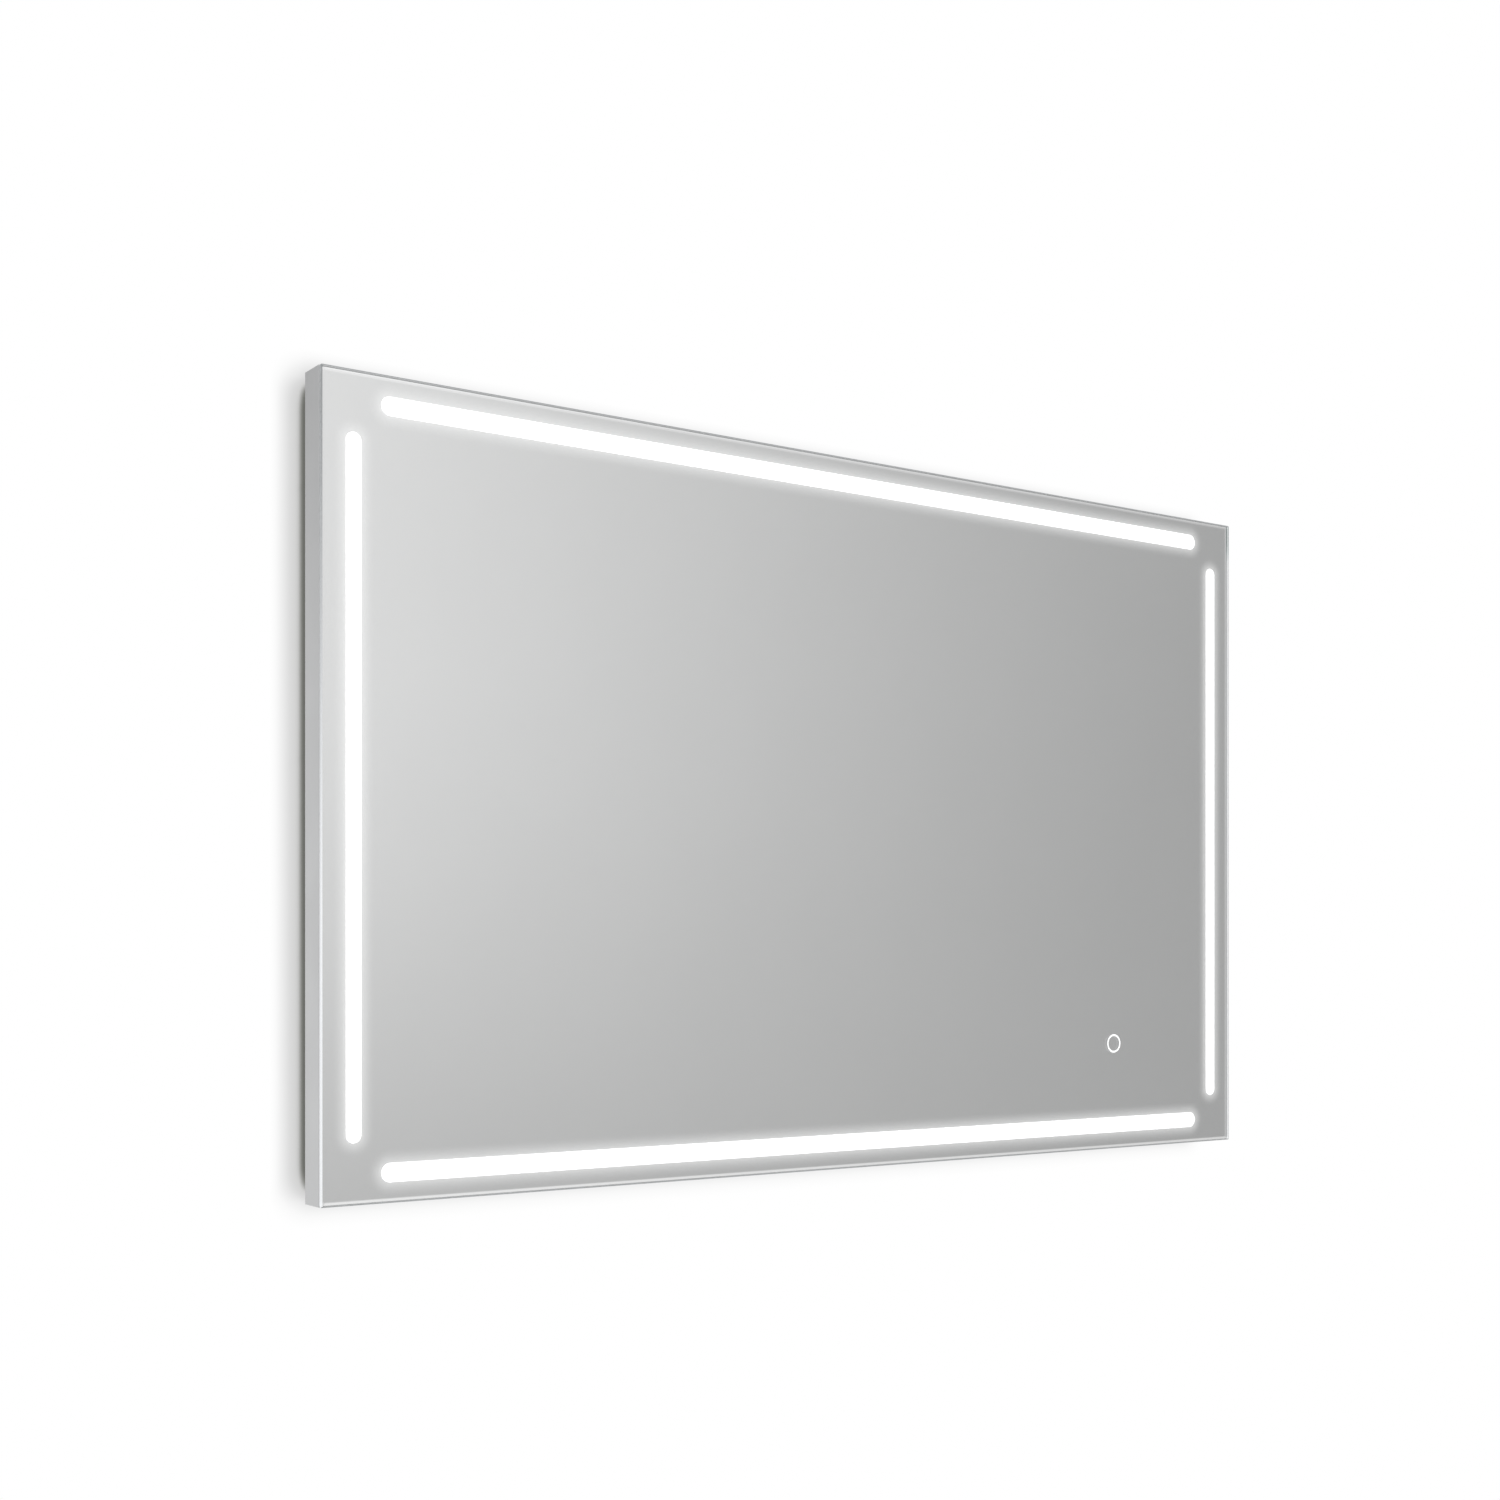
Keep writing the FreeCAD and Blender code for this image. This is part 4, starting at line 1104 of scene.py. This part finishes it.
@dataclass
class LightUnits:
    """Diffusers, channels, light strips and chips behind the windows."""

    metal: Triple = (0.78, 0.79, 0.80)
    opal: LitWhite = LitWhite("opal_acrylic_lit")
    strip: Board = Board(
        "strip_laminate", (0.88, 0.88, 0.86), (0.80, 0.79, 0.76), (0.80, 0.62, 0.40), 420.0
    )
    chip: Moulded = Moulded(
        "chip_phosphor", (0.90, 0.78, 0.28), (0.95, 0.86, 0.42), 5200.0, 0.02 * MM, (0.3, 0.5)
    )

    def build(self) -> None:
        """Dresses the light units, which the pane hides but for the diffusers."""
        for finish, kind, more in (
            (self.opal, "diffuser", ("touch_light_guide",)),
            (self.strip, "light_strip", ()),
            (self.chip, "light_chips", ()),
        ):
            dress(finish, *(f"{kind}_{side}" for side in SIDES), *more)
        for grain, sides in GRAINS:
            drawn = Metal(f"drawn_channel_{grain.name.lower()}", self.metal, grain, 1800.0)
            dress(drawn, *(f"light_channel_{side}" for side in sides))


# --- the frame ---------------------------------------------------------------------------


@dataclass
class FrameBars:
    """Four mitred bars of one aluminium section, and what joins and tapes them."""

    depth: float = 31 * MM
    wall: float = 2 * MM
    front_flange: float = 12 * MM
    back_flange: float = 16 * MM
    chamfer_deep: float = 2 * MM
    chamfer_in: float = 3 * MM
    outer_round: float = 0.35 * MM
    inner_round: float = 0.25 * MM
    seam: float = 0.04 * MM
    metal: Triple = (0.74, 0.745, 0.75)
    foam: Moulded = Moulded(
        "foam_tape", (0.035, 0.035, 0.036), (0.06, 0.06, 0.062), 3800.0, 0.15 * MM, (0.75, 0.95)
    )

    def section(self) -> list[Point]:
        """Outlines the bar's section.

        Returns:
            Points of depth over the wall side and inset from the outside.
        """
        length = math.hypot(self.chamfer_deep, self.chamfer_in)
        reach = self.chamfer_in * self.chamfer_deep + self.wall * length
        inner_deep = (reach - self.chamfer_deep * self.wall) / self.chamfer_in
        inner_in = (reach - self.chamfer_in * self.wall) / self.chamfer_deep
        corners = (
            (self.chamfer_deep, 0.0),
            (self.depth, 0.0),
            (self.depth, self.front_flange),
            (self.depth - self.wall, self.front_flange),
            (self.depth - self.wall, self.wall),
            (inner_deep, self.wall),
            (self.wall, inner_in),
            (self.wall, self.back_flange),
            (0.0, self.back_flange),
            (0.0, self.chamfer_in),
        )
        outer = (0, 1, len(corners) - 1)
        radii = [
            self.outer_round if i in outer else self.inner_round for i in range(len(corners))
        ]
        return rounded(corners, radii)

    def bar(self, side: str, finish: Finish) -> None:
        """Builds one bar, mitred at both ends.

        Args:
            side: Which side of the frame it is.
            finish: Its metal.
        """
        low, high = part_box(f"frame_{side}")
        upright = side in ENDS
        start, end = (low.z, high.z) if upright else (low.x, high.x)
        outside = {"top": high.z, "bottom": low.z, "left": low.x, "right": high.x}[side]
        inward = -1 if side in ("top", "right") else 1
        rings: list[list[Vector]] = [[], []]
        for deep, inset in self.section():
            beside, back = outside + inward * inset, high.y - deep
            for ring, along in zip(rings, (start + inset + self.seam, end - inset - self.seam)):
                place = (beside, back, along) if upright else (along, back, beside)
                ring.append(Vector(place))
        name, node = f"brushed_bar_{side}", f"frame_{side}"
        show(name, skin(name, rings), (finish,), (node,), crease=25.0)

    def build(self) -> None:
        """Builds the bars, and dresses the corner keys and the tape."""
        for grain, sides in GRAINS:
            name = f"satin_bar_{grain.name.lower()}"
            satin = Metal(name, self.metal, grain, 5200.0, 0.07, (0.30, 0.46))
            for side in sides:
                self.bar(side, satin)
        dress(self.foam, *(f"tape_{side}" for side in SIDES))
        keys = [f"corner_key_{level}_{end}" for level in LEVEL for end in ENDS]
        dress(ZINC, *keys, "corner_screws")


# --- screws ------------------------------------------------------------------------------


@dataclass(frozen=True)
class PanHead:
    """A pan head screw with a cross recess, driven from behind."""

    radius: float
    head: float
    length: float
    height: float = 1.8 * MM
    dome_angles: tuple[int, ...] = (84, 66, 48, 32, 16, 0)
    dome_power: float = 0.8
    dome_from: float = 0.3
    brim: Point = (0.95, 0.12)
    recess_reach: float = 1.9 * MM
    recess_half: float = 0.45 * MM
    recess_depth: float = 1.1 * MM
    recess_rise: float = 0.3 * MM
    recess_shares: Triple = (1.12, 1.0, 0.55)
    recess_least: float = 0.7
    thread_pitch: float = 0.8 * MM
    thread_flat: float = 0.02 * MM
    root: float = 0.86
    tip: float = 0.5

    def mesh(self, seat: float) -> Mesh:
        """Makes one screw at X = Z = 0.

        Args:
            seat: Depth along Y of the face that its head lies on.

        Returns:
            The screw's mesh.
        """
        top = seat + self.height
        profile = [(0.0, top)]
        for angle in map(math.radians, self.dome_angles):
            rise = self.dome_from + (1 - self.dome_from) * math.sin(angle)
            across = self.head * math.cos(angle) ** self.dome_power
            profile.append((across, seat + self.height * rise))
        profile.append((self.head, seat + self.brim[1] * self.height))
        profile.append((self.head * self.brim[0], seat))
        turns = int((self.length - self.radius) / self.thread_pitch)
        for turn in range(turns):
            at = seat - turn * self.thread_pitch
            profile.append((self.radius * self.root, at - self.thread_flat))
            profile.append((self.radius, at - self.thread_pitch / 2))
        profile.append((self.radius * self.root, seat - turns * self.thread_pitch))
        profile.append((self.radius * self.tip, seat - self.length))
        profile.append((0.0, seat - self.length))
        return cut(turned("pan_head", profile, (0.0, 0.0), steps=28), self.cross(top))

    def cross(self, top: float) -> Mesh:
        """Makes the tapered cross that is cut out of a head.

        Args:
            top: Depth along Y of the head's top.

        Returns:
            The cutter's mesh.
        """
        rings = []
        depths = (top + self.recess_rise, top, top - self.recess_depth)
        for share, depth in zip(self.recess_shares, depths):
            reach = self.recess_reach * share
            half = self.recess_half * max(share, self.recess_least)
            outline = []
            for turn in range(4):
                cosine, sine = math.cos(turn * math.pi / 2), math.sin(turn * math.pi / 2)
                for out, side in ((reach, -half), (reach, half), (half, half)):
                    outline.append((out * cosine - side * sine, out * sine + side * cosine))
            rings.append(upright_ring(outline, depth))
        return skin("cross_cutter", rings)

    def group(self, name: str, spots: Sequence[Point], seat: float, node: str) -> None:
        """Builds a group of these screws in place of a CAD node, with heads on a seat."""
        mesh = copies(self.mesh(seat), spots)
        show(name, mesh, (ZINC,), (node,), crease=35.0)


# --- hanging hardware --------------------------------------------------------------------


@dataclass
class Hanging:
    """Wall rail, hangers with their screws and nuts, and rubber buffers."""

    wall: float = 2 * MM
    slot: float = 5.4 * MM
    below: float = 16 * MM
    above: float = 10 * MM
    hook: float = 12 * MM
    play: float = 0.6 * MM
    panel_back: float = 11 * MM
    outer_round: float = 0.7 * MM
    inner_round: float = 0.3 * MM
    sawn: float = 0.15 * MM
    hole: float = 2.75 * MM
    hole_spots: tuple[float, ...] = (-320 * MM, -120 * MM, 120 * MM, 320 * MM)
    bolt_steps: tuple[float, ...] = (-60 * MM, -20 * MM, 20 * MM, 60 * MM)
    bolt_up: float = 26.2 * MM + 10 * MM
    bolt_hole: float = 2.15 * MM
    sink: Point = (1.3 * MM, 0.3 * MM)
    past: float = 1 * MM
    ribs: Triple = (3.2, 5.6, 8.0)
    rib: tuple[Point, ...] = ((-0.6, 0.1), (0.0, 0.0), (0.6, 0.1), (1.0, 0.7))
    well: Point = (2.0, 1.2)
    rim: tuple[Point, ...] = ((2.4, 0.2), (1.6, 0.0), (0.7, 0.4), (0.15, 1.3), (0.5, 5.0))
    foot: tuple[Point, ...] = ((0.5, 2.5), (0.0, 1.6), (0.0, 0.3), (0.3, 0.0))
    screw: PanHead = PanHead(2 * MM, 4 * MM, 7.2 * MM)
    metal: Metal = Metal(
        "drawn_hanging_metal", (0.76, 0.765, 0.77), Grain.ALONG_X, 1500.0, 0.08, (0.26, 0.44),
        0.03 * MM,
    )

    def drawn(
        self,
        node: str,
        corners: Sequence[Point],
        far: Sequence[int],
        holes: Sequence[Point],
        radius: float,
        depth: float,
    ) -> Mesh:
        """Draws a section along X, eases its sawn ends and drills it.

        Args:
            node: The CAD node, which gives the length.
            corners: The section's corners, as depth from the wall and height.
            far: Numbers of the corners with the larger rounding.
            holes: Where the holes are, each with a small countersink.
            radius: Their radius.
            depth: Depth along Y of the drilled wall's face nearer to the viewer.

        Returns:
            The mesh.
        """
        low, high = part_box(node)
        numbers = range(len(corners))
        radii = [self.outer_round if i in far else self.inner_round for i in numbers]
        outline = rounded(corners, radii)
        rings = [
            [Vector((along, -deep, up)) for deep, up in outline]
            for along in (low.x, low.x + self.sawn, high.x - self.sawn, high.x)
        ]
        front, back = depth - self.past, depth + self.wall + self.past
        bit = (
            (0.0, front),
            (radius + self.sink[0], front),
            (radius, depth + self.sink[1]),
            (radius, back),
            (0.0, back),
        )
        drill = turned("drill", bit, (0.0, 0.0), steps=32)
        return cut(skin(f"drawn_{node}", rings), copies(drill, holes))

    def place(self, name: str, mesh: Mesh, node: str, body: str = MIRROR_BODY) -> None:
        """Puts a drawn piece in place of its CAD node."""
        show(name, mesh, (self.metal,), (node,), crease=25.0, body=body)

    def rail(self) -> None:
        """Builds the wall rail with its screw holes."""
        front, top = self.slot + self.wall, self.above + self.hook
        corners = (
            (0.0, -self.below),
            (0.0, self.above),
            (self.slot, self.above),
            (self.slot, top),
            (front, top),
            (front, self.above - self.wall),
            (self.wall, self.above - self.wall),
            (self.wall, -self.below),
        )
        holes = [(spot, 0.0) for spot in self.hole_spots]
        mesh = self.drawn("wall_rail", corners, (1, 3, 4, 5, 7), holes, self.hole, -self.wall)
        self.place("drawn_rail", mesh, "wall_rail", RAIL_BODY)

    def bolts(self, side: str) -> list[Point]:
        """Lists the places of one hanger's screws."""
        middle = middle_of(f"hanger_{side}")[0]
        return [(middle + step, self.bolt_up) for step in self.bolt_steps]

    def hanger(self, side: str) -> None:
        """Builds one hanger.

        Args:
            side: left or right.
        """
        node = f"hanger_{side}"
        low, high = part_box(node)
        rest = low.z + self.hook - self.wall
        front = self.panel_back - self.wall
        tongue = self.slot - self.play
        corners = (
            (self.panel_back, rest),
            (self.panel_back, high.z),
            (front, high.z),
            (front, rest + self.wall),
            (tongue - self.wall, rest + self.wall),
            (tongue - self.wall, low.z),
            (tongue, low.z),
            (tongue, rest),
        )
        bolts = self.bolts(side)
        mesh = self.drawn(
            node, corners, (0, 1, 2, 4, 5, 6), bolts, self.bolt_hole, -self.panel_back
        )
        self.place(f"drawn_{node}", mesh, node)

    def buffer(self, side: str) -> None:
        """Builds one rubber buffer with a ribbed face.

        Its ribs, well, rim and foot are in millimetres: the radius, or how far in from
        the outside, then how far from the back or the front.

        Args:
            side: left or right.
        """
        node, name = f"wall_buffer_{side}", f"moulded_buffer_{side}"
        low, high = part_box(node)
        radius = (high.x - low.x) / 2
        hollow = high.y - self.well[1] * MM
        profile = [(0.0, hollow), (self.well[0] * MM, hollow)]
        profile += [
            ((rib + out) * MM, high.y - down * MM) for rib in self.ribs for out, down in self.rib
        ]
        profile += [(radius - inside * MM, high.y - down * MM) for inside, down in self.rim]
        profile += [(radius - inside * MM, low.y + up * MM) for inside, up in self.foot]
        profile.append((0.0, low.y))
        mesh = turned(name, profile, middle_of(node))
        show(name, mesh, (RUBBER,), (node,), crease=40.0)

    def build(self) -> list[Point]:
        """Builds the hanging hardware.

        Returns:
            The places of the hangers' screws.
        """
        self.rail()
        for side in ENDS:
            self.hanger(side)
            self.buffer(side)
        bolts = [bolt for side in ENDS for bolt in self.bolts(side)]
        seat = self.wall - self.panel_back
        self.screw.group("hanger_pan_heads", bolts, seat, "hanger_screws")
        dress(ZINC, "hanger_nuts")
        return bolts


# --- the back ----------------------------------------------------------------------------


@dataclass
class BackPanel:
    """Sheet steel back panel with its screws, vents and cable inlet."""

    corner: float = 8 * MM
    soft: float = 0.2 * MM
    edge_up: float = 339 * MM
    edge_across: float = 539 * MM
    across_steps: tuple[float, ...] = (-480 * MM, -240 * MM, 0.0, 240 * MM, 480 * MM)
    up_steps: tuple[float, ...] = (-230 * MM, 0.0, 230 * MM)
    screw_hole: float = 1.9 * MM
    bolt_hole: float = 2.15 * MM
    case_down: float = 190 * MM
    driver: Point = (120 * MM, 83 * MM)
    terminals: Point = (-150 * MM, 41 * MM)
    post_up: float = 20 * MM
    inlet_across: float = -170 * MM
    inlet_hole: float = 7.05 * MM
    vent_up: float = 62 * MM
    vent_step: float = 9 * MM
    vent_count: int = 9
    vent_reach: float = 15.5 * MM
    vent_radius: float = 1.5 * MM
    bore: float = 4.2 * MM
    neck: float = 7 * MM
    lip: float = 9 * MM
    lip_thick: float = 1.5 * MM
    coat: PowderCoat = PowderCoat()
    screw: PanHead = PanHead(1.75 * MM, 3.5 * MM, 5 * MM)

    def edge_spots(self, middle: float) -> list[Point]:
        """Lists the screws round the edge.

        Args:
            middle: Height of the panel's middle.

        Returns:
            Their places across and up.
        """
        level = [(x, middle + self.edge_up * end) for x in self.across_steps for end in (1, -1)]
        return level + [
            (self.edge_across * end, middle + up) for up in self.up_steps for end in (1, -1)
        ]

    def case_spots(self, middle: float) -> list[Point]:
        """Lists the screws that hold the driver and the terminal box.

        Args:
            middle: Height of the panel's middle.

        Returns:
            Their places across and up.
        """
        return [
            (across + off * side, middle - self.case_down + self.post_up * end)
            for across, off in (self.driver, self.terminals)
            for side in (1, -1)
            for end in (1, -1)
        ]

    def panel(self, bolts: Sequence[Point]) -> None:
        """Builds the sheet with all its holes.

        Args:
            bolts: Places of the hanger screws.
        """
        low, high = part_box("back_panel")
        middle = (low.z + high.z) / 2
        cases_up = middle - self.case_down
        outlines = [box_outline((low.x, low.z), (high.x, high.z), 0.0, self.corner, steps=8)]
        for spot in self.edge_spots(middle) + self.case_spots(middle):
            outlines.append(circle_outline(spot, self.screw_hole, steps=16))
        outlines += [circle_outline(spot, self.bolt_hole, steps=16) for spot in bolts]
        outlines.append(circle_outline((self.inlet_across, cases_up), self.inlet_hole))
        for step in range(self.vent_count):
            across = self.driver[0] + (step - (self.vent_count - 1) / 2) * self.vent_step
            spot = (across, cases_up + self.vent_up)
            vent = slot_outline(spot, self.vent_reach, self.vent_radius, Run.UPRIGHT, steps=8)
            outlines.append(vent)
        mesh = plate("steel_back", outlines, low.y, high.y, self.soft)
        show("steel_back", mesh, (self.coat,), ("back_panel",), crease=25.0)

    def grommet(self) -> None:
        """Builds the rubber grommet of the cable inlet.

        Its profile is in millimetres: the radius, then how far from the front or the back.
        """
        low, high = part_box("cable_grommet")
        sizes = (self.bore, self.neck, self.lip, self.lip_thick, (high.x - low.x) / 2)
        bore, neck, lip, rim, flange = (size / MM for size in sizes)
        front = (
            (bore, 0.3), (bore + 0.3, 0.0), (lip - 0.5, 0.0), (lip, 0.5), (lip, rim - 0.1),
            (neck, rim),
        )
        back = (
            (neck, rim), (flange, rim - 0.1), (flange, 0.8), (flange - 0.5, 0.25),
            (flange - 1.4, 0.0), (bore + 1.2, 0.0), (bore + 0.4, 0.25), (bore, 0.9),
        )
        profile = [(radius * MM, low.y + up * MM) for radius, up in front]
        profile += [(radius * MM, high.y - down * MM) for radius, down in back]
        mesh = turned("moulded_grommet", profile, middle_of("cable_grommet"), bore=True)
        show(
            "moulded_grommet", mesh, (RUBBER,), ("cable_grommet",), crease=40.0
        )

    def build(self, bolts: Sequence[Point]) -> None:
        """Builds the panel, its screws and the grommet.

        Args:
            bolts: Places of the hanger screws.
        """
        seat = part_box("back_panel")[1].y
        middle = middle_of("back_panel")[1]
        self.panel(bolts)
        self.screw.group("panel_pan_heads", self.edge_spots(middle), seat, "panel_screws")
        self.screw.group("case_pan_heads", self.case_spots(middle), seat, "case_screws")
        self.grommet()


@dataclass
class Electrics:
    """Driver, terminal box, touch sensor and wiring, all behind the pane."""

    cases: tuple[str, ...] = (
        "driver_case",
        "driver_lid",
        "terminal_box",
        "terminal_lid",
        "terminal_block",
        "cord_clamp",
        "touch_holder",
        "cable_clips",
    )
    white: Moulded = Moulded(
        "white_moulding", (0.82, 0.82, 0.80), (0.86, 0.86, 0.845), 2600.0, 0.03 * MM, (0.4, 0.55)
    )
    sheath: Moulded = Moulded(
        "lead_sheath", (0.78, 0.78, 0.77), (0.83, 0.83, 0.82), 3000.0, 0.02 * MM, (0.45, 0.6)
    )
    black: Moulded = Moulded(
        "lead_insulation", (0.05, 0.05, 0.055), (0.08, 0.08, 0.085), 3000.0, 0.02 * MM, (0.4, 0.6)
    )
    board: Board = Board(
        "green_laminate", (0.03, 0.20, 0.09), (0.06, 0.32, 0.15), (0.80, 0.66, 0.38), 260.0
    )
    brass: Metal = Metal(
        "turned_brass", (0.80, 0.63, 0.30), Grain.ALONG_X, 2600.0, 0.08, (0.2, 0.36)
    )

    def build(self) -> None:
        """Dresses the pieces inside the casing."""
        for finish, nodes in (
            (self.white, self.cases),
            (self.sheath, ("mains_lead",)),
            (self.black, ("feed_lead", "sensor_lead", "link_leads")),
            (self.board, ("driver_board", "touch_board")),
            (self.brass, ("terminal_screws",)),
        ):
            dress(finish, *nodes)
        dress(ZINC, "clamp_screws")


# --- stage -------------------------------------------------------------------------------


@dataclass(frozen=True)
class StageWhite(Finish):
    """White of the stage, darker where the mirror hangs close to it."""

    one_sided: bool = False
    shaded: bool = False
    samples: int = 128
    reach: float = 30 * MM
    light_from: Triple = (0.6, -1.0, -0.3)
    stops: tuple[tuple[float, Triple], ...] = (
        (0.40, (0.145, 0.148, 0.135)),
        (0.44, (0.225, 0.228, 0.212)),
        (0.49, (0.44, 0.44, 0.43)),
        (0.52, (0.57, 0.57, 0.565)),
        (0.55, (0.645, 0.645, 0.64)),
        (0.645, (0.708, 0.708, 0.708)),
        (0.75, (0.815, 0.815, 0.815)),
        (0.90, (0.955, 0.955, 0.955)),
        (0.99, WHITE),
    )
    lit: Triple = (0.80, 0.80, 0.80)
    paler: Triple = (0.83, 0.83, 0.83)
    grit_scale: float = 60.0
    roughness: float = 0.9

    def shade(self, bench: Bench) -> Socket:
        """Darkens the white near the mirror, most on the sides that face away from the light.

        Args:
            bench: The material under way.

        Returns:
            The shaded white.
        """
        way = bench.add("CombineXYZ", dict(enumerate(Vector(self.light_from).normalized())))
        inputs = {"Distance": self.reach, "Normal": way.outputs[0]}
        near = bench.add("AmbientOcclusion", inputs, samples=self.samples)
        ramp = bench.add("ValToRGB", {0: near.outputs["AO"]})
        while len(ramp.color_ramp.elements) < len(self.stops):
            ramp.color_ramp.elements.new(0.5)
        for element, (at, colour) in zip(ramp.color_ramp.elements, self.stops):
            element.position = at
            element.color = (*colour, 1.0)
        return ramp.outputs[0]

    def paint(self, bench: Bench) -> None:
        """Paints the white: as written to the camera and through glass, lit elsewhere.

        Args:
            bench: The material under way.
        """
        glow = bench.add("Emission", {"Color": self.shade(bench) if self.shaded else WHITE})
        grit = bench.noise(self.grit_scale)
        bench.shine(
            Base_Color=bench.blend(grit, self.lit, self.paler), Roughness=self.roughness
        )
        rays = bench.add("LightPath").outputs
        seen = bench.math("MAXIMUM", rays["Is Camera Ray"], rays["Is Transmission Ray"])
        last = bench.join(seen, bench.shader.outputs[0], glow.outputs[0])
        if self.one_sided:
            behind = bench.add("NewGeometry").outputs["Backfacing"]
            last = bench.join(behind, last, bench.add("BsdfTransparent").outputs[0])
        bench.plug(last, bench.output.inputs["Surface"])


@dataclass
class Studio:
    """Camera, lamps, world, wall and floor."""

    eye: Triple = (-1.2104, -1.6160, -0.3922)
    heading: float = 34.887
    lens: float = 48.23
    sensor: float = 36.0
    shift_up: float = 0.13824
    nearest: float = 0.01
    floor_up: float = -1.75
    room_half: float = 4.0
    wall_back: float = 0.2 * MM
    sheet_step: float = 0.1 * MM
    shade_margin: float = 40 * MM
    lamp_size: float = 1.6
    lamp_aim: Triple = (0.0, -0.02, -0.25)
    lamp_places: tuple[tuple[str, Triple, float], ...] = (
        ("front_left_lamp", (-2.2, -2.2, 0.9), 26.0),
        ("front_right_lamp", (2.4, -2.4, 0.6), 18.0),
        ("rear_lamp", (-1.2, 2.2, 1.0), 26.0),
    )
    fill: float = 0.62
    front: Band = (0.82, 0.283)
    front_across: Band = (0.2, 0.95)
    low_grey: float = 0.385
    low_up: Band = (0.17, -0.32)
    rear: Band = (0.775, 0.44)
    rear_up: Band = (0.09, 0.33)
    front_to_rear: Band = (-0.1, 0.1)

    def camera(self) -> None:
        """Sets the camera at the photograph's place."""
        view = bpy.data.cameras.new("photograph_view")
        view.lens = self.lens
        view.sensor_width = self.sensor
        view.shift_y = self.shift_up
        view.clip_start = self.nearest
        holder = put("photograph_view", view)
        holder.location = self.eye
        holder.rotation_euler = (math.pi / 2, 0.0, -math.radians(self.heading))
        bpy.context.scene.camera = holder

    def lamps(self) -> None:
        """Hangs soft square lamps, two in front and one behind, which no gloss shows."""
        for name, spot, watts in self.lamp_places:
            light = bpy.data.lights.new(name, "AREA")
            light.shape = "SQUARE"
            light.size = self.lamp_size
            light.energy = watts
            holder = put(name, light)
            holder.location = spot
            way = Vector(self.lamp_aim) - Vector(spot)
            holder.rotation_euler = way.to_track_quat("-Z", "Y").to_euler()
            holder.visible_glossy = holder.visible_transmission = False

    def world(self) -> None:
        """Makes the room's light: white to the camera, a soft grey fall-off in gloss."""
        world = bpy.data.worlds.new("studio_room")
        bpy.context.scene.world = world
        world.use_nodes = True
        tree = Tree(world.node_tree)
        across, along, up = tree.axes(tree.add("TexCoord").outputs["Generated"])[:3]
        level = tree.spread(across, self.front_across, self.front)
        ahead = tree.between(tree.spread(up, self.low_up), level, self.low_grey)
        behind = tree.spread(up, self.rear_up, self.rear)
        gloss = tree.between(tree.spread(along, self.front_to_rear), ahead, behind)
        rays = tree.add("LightPath").outputs
        lit = tree.between(rays["Is Diffuse Ray"], gloss, self.fill)
        whole = tree.between(rays["Is Camera Ray"], lit, 1.0)
        tree.plug(whole, tree.tree.nodes["Background"].inputs["Color"])

    def sheet(
        self, name: str, low: Triple, high: Triple, finish: StageWhite
    ) -> bpy.types.Object:
        """Lays one flat sheet of the stage.

        Args:
            name: What it is called.
            low: Its lowest corner.
            high: Its highest corner.
            finish: Its white.

        Returns:
            The sheet.
        """
        mesh = bpy.data.meshes.new(name)
        corners = (low, (high[0], *low[1:]), high, (low[0], *high[1:]))
        mesh.from_pydata(corners, [], [(0, 1, 2, 3)])
        mesh.materials.append(finish.material())
        holder = put(name, mesh)
        return holder

    def build(self) -> None:
        """Builds the stage, whose two walls the lamps shine through."""
        self.camera()
        self.lamps()
        self.world()
        half, floor, near = self.room_half, self.floor_up, self.shade_margin
        low, high = cad_box
        back = self.wall_back + self.sheet_step
        plain = self.sheet(
            "studio_wall",
            (-half, back, floor),
            (half, back, floor + half),
            StageWhite("wall_white", one_sided=True),
        )
        shaded = self.sheet(
            "shaded_wall",
            (low[0] - near, self.wall_back, low[2] - near),
            (high[0] + near, self.wall_back, high[2] + near),
            StageWhite("wall_shade", one_sided=True, shaded=True),
        )
        for wall in (plain, shaded):
            wall.visible_diffuse = wall.visible_glossy = wall.visible_shadow = False
        ground = self.sheet(
            "studio_floor", (-half, -half, floor), (half, half, floor), StageWhite("floor_white")
        )
        ground.visible_glossy = ground.visible_transmission = False


def main() -> None:
    """Builds the scene, sub-assembly by sub-assembly."""
    logging.basicConfig(level=logging.INFO, format="%(message)s")
    bpy.context.scene.view_settings.view_transform = "Standard"
    Studio().build()
    Pane().build()
    LightUnits().build()
    FrameBars().build()
    bolts = Hanging().build()
    BackPanel().build(bolts)
    Electrics().build()


if __name__ == "__main__":
    main()
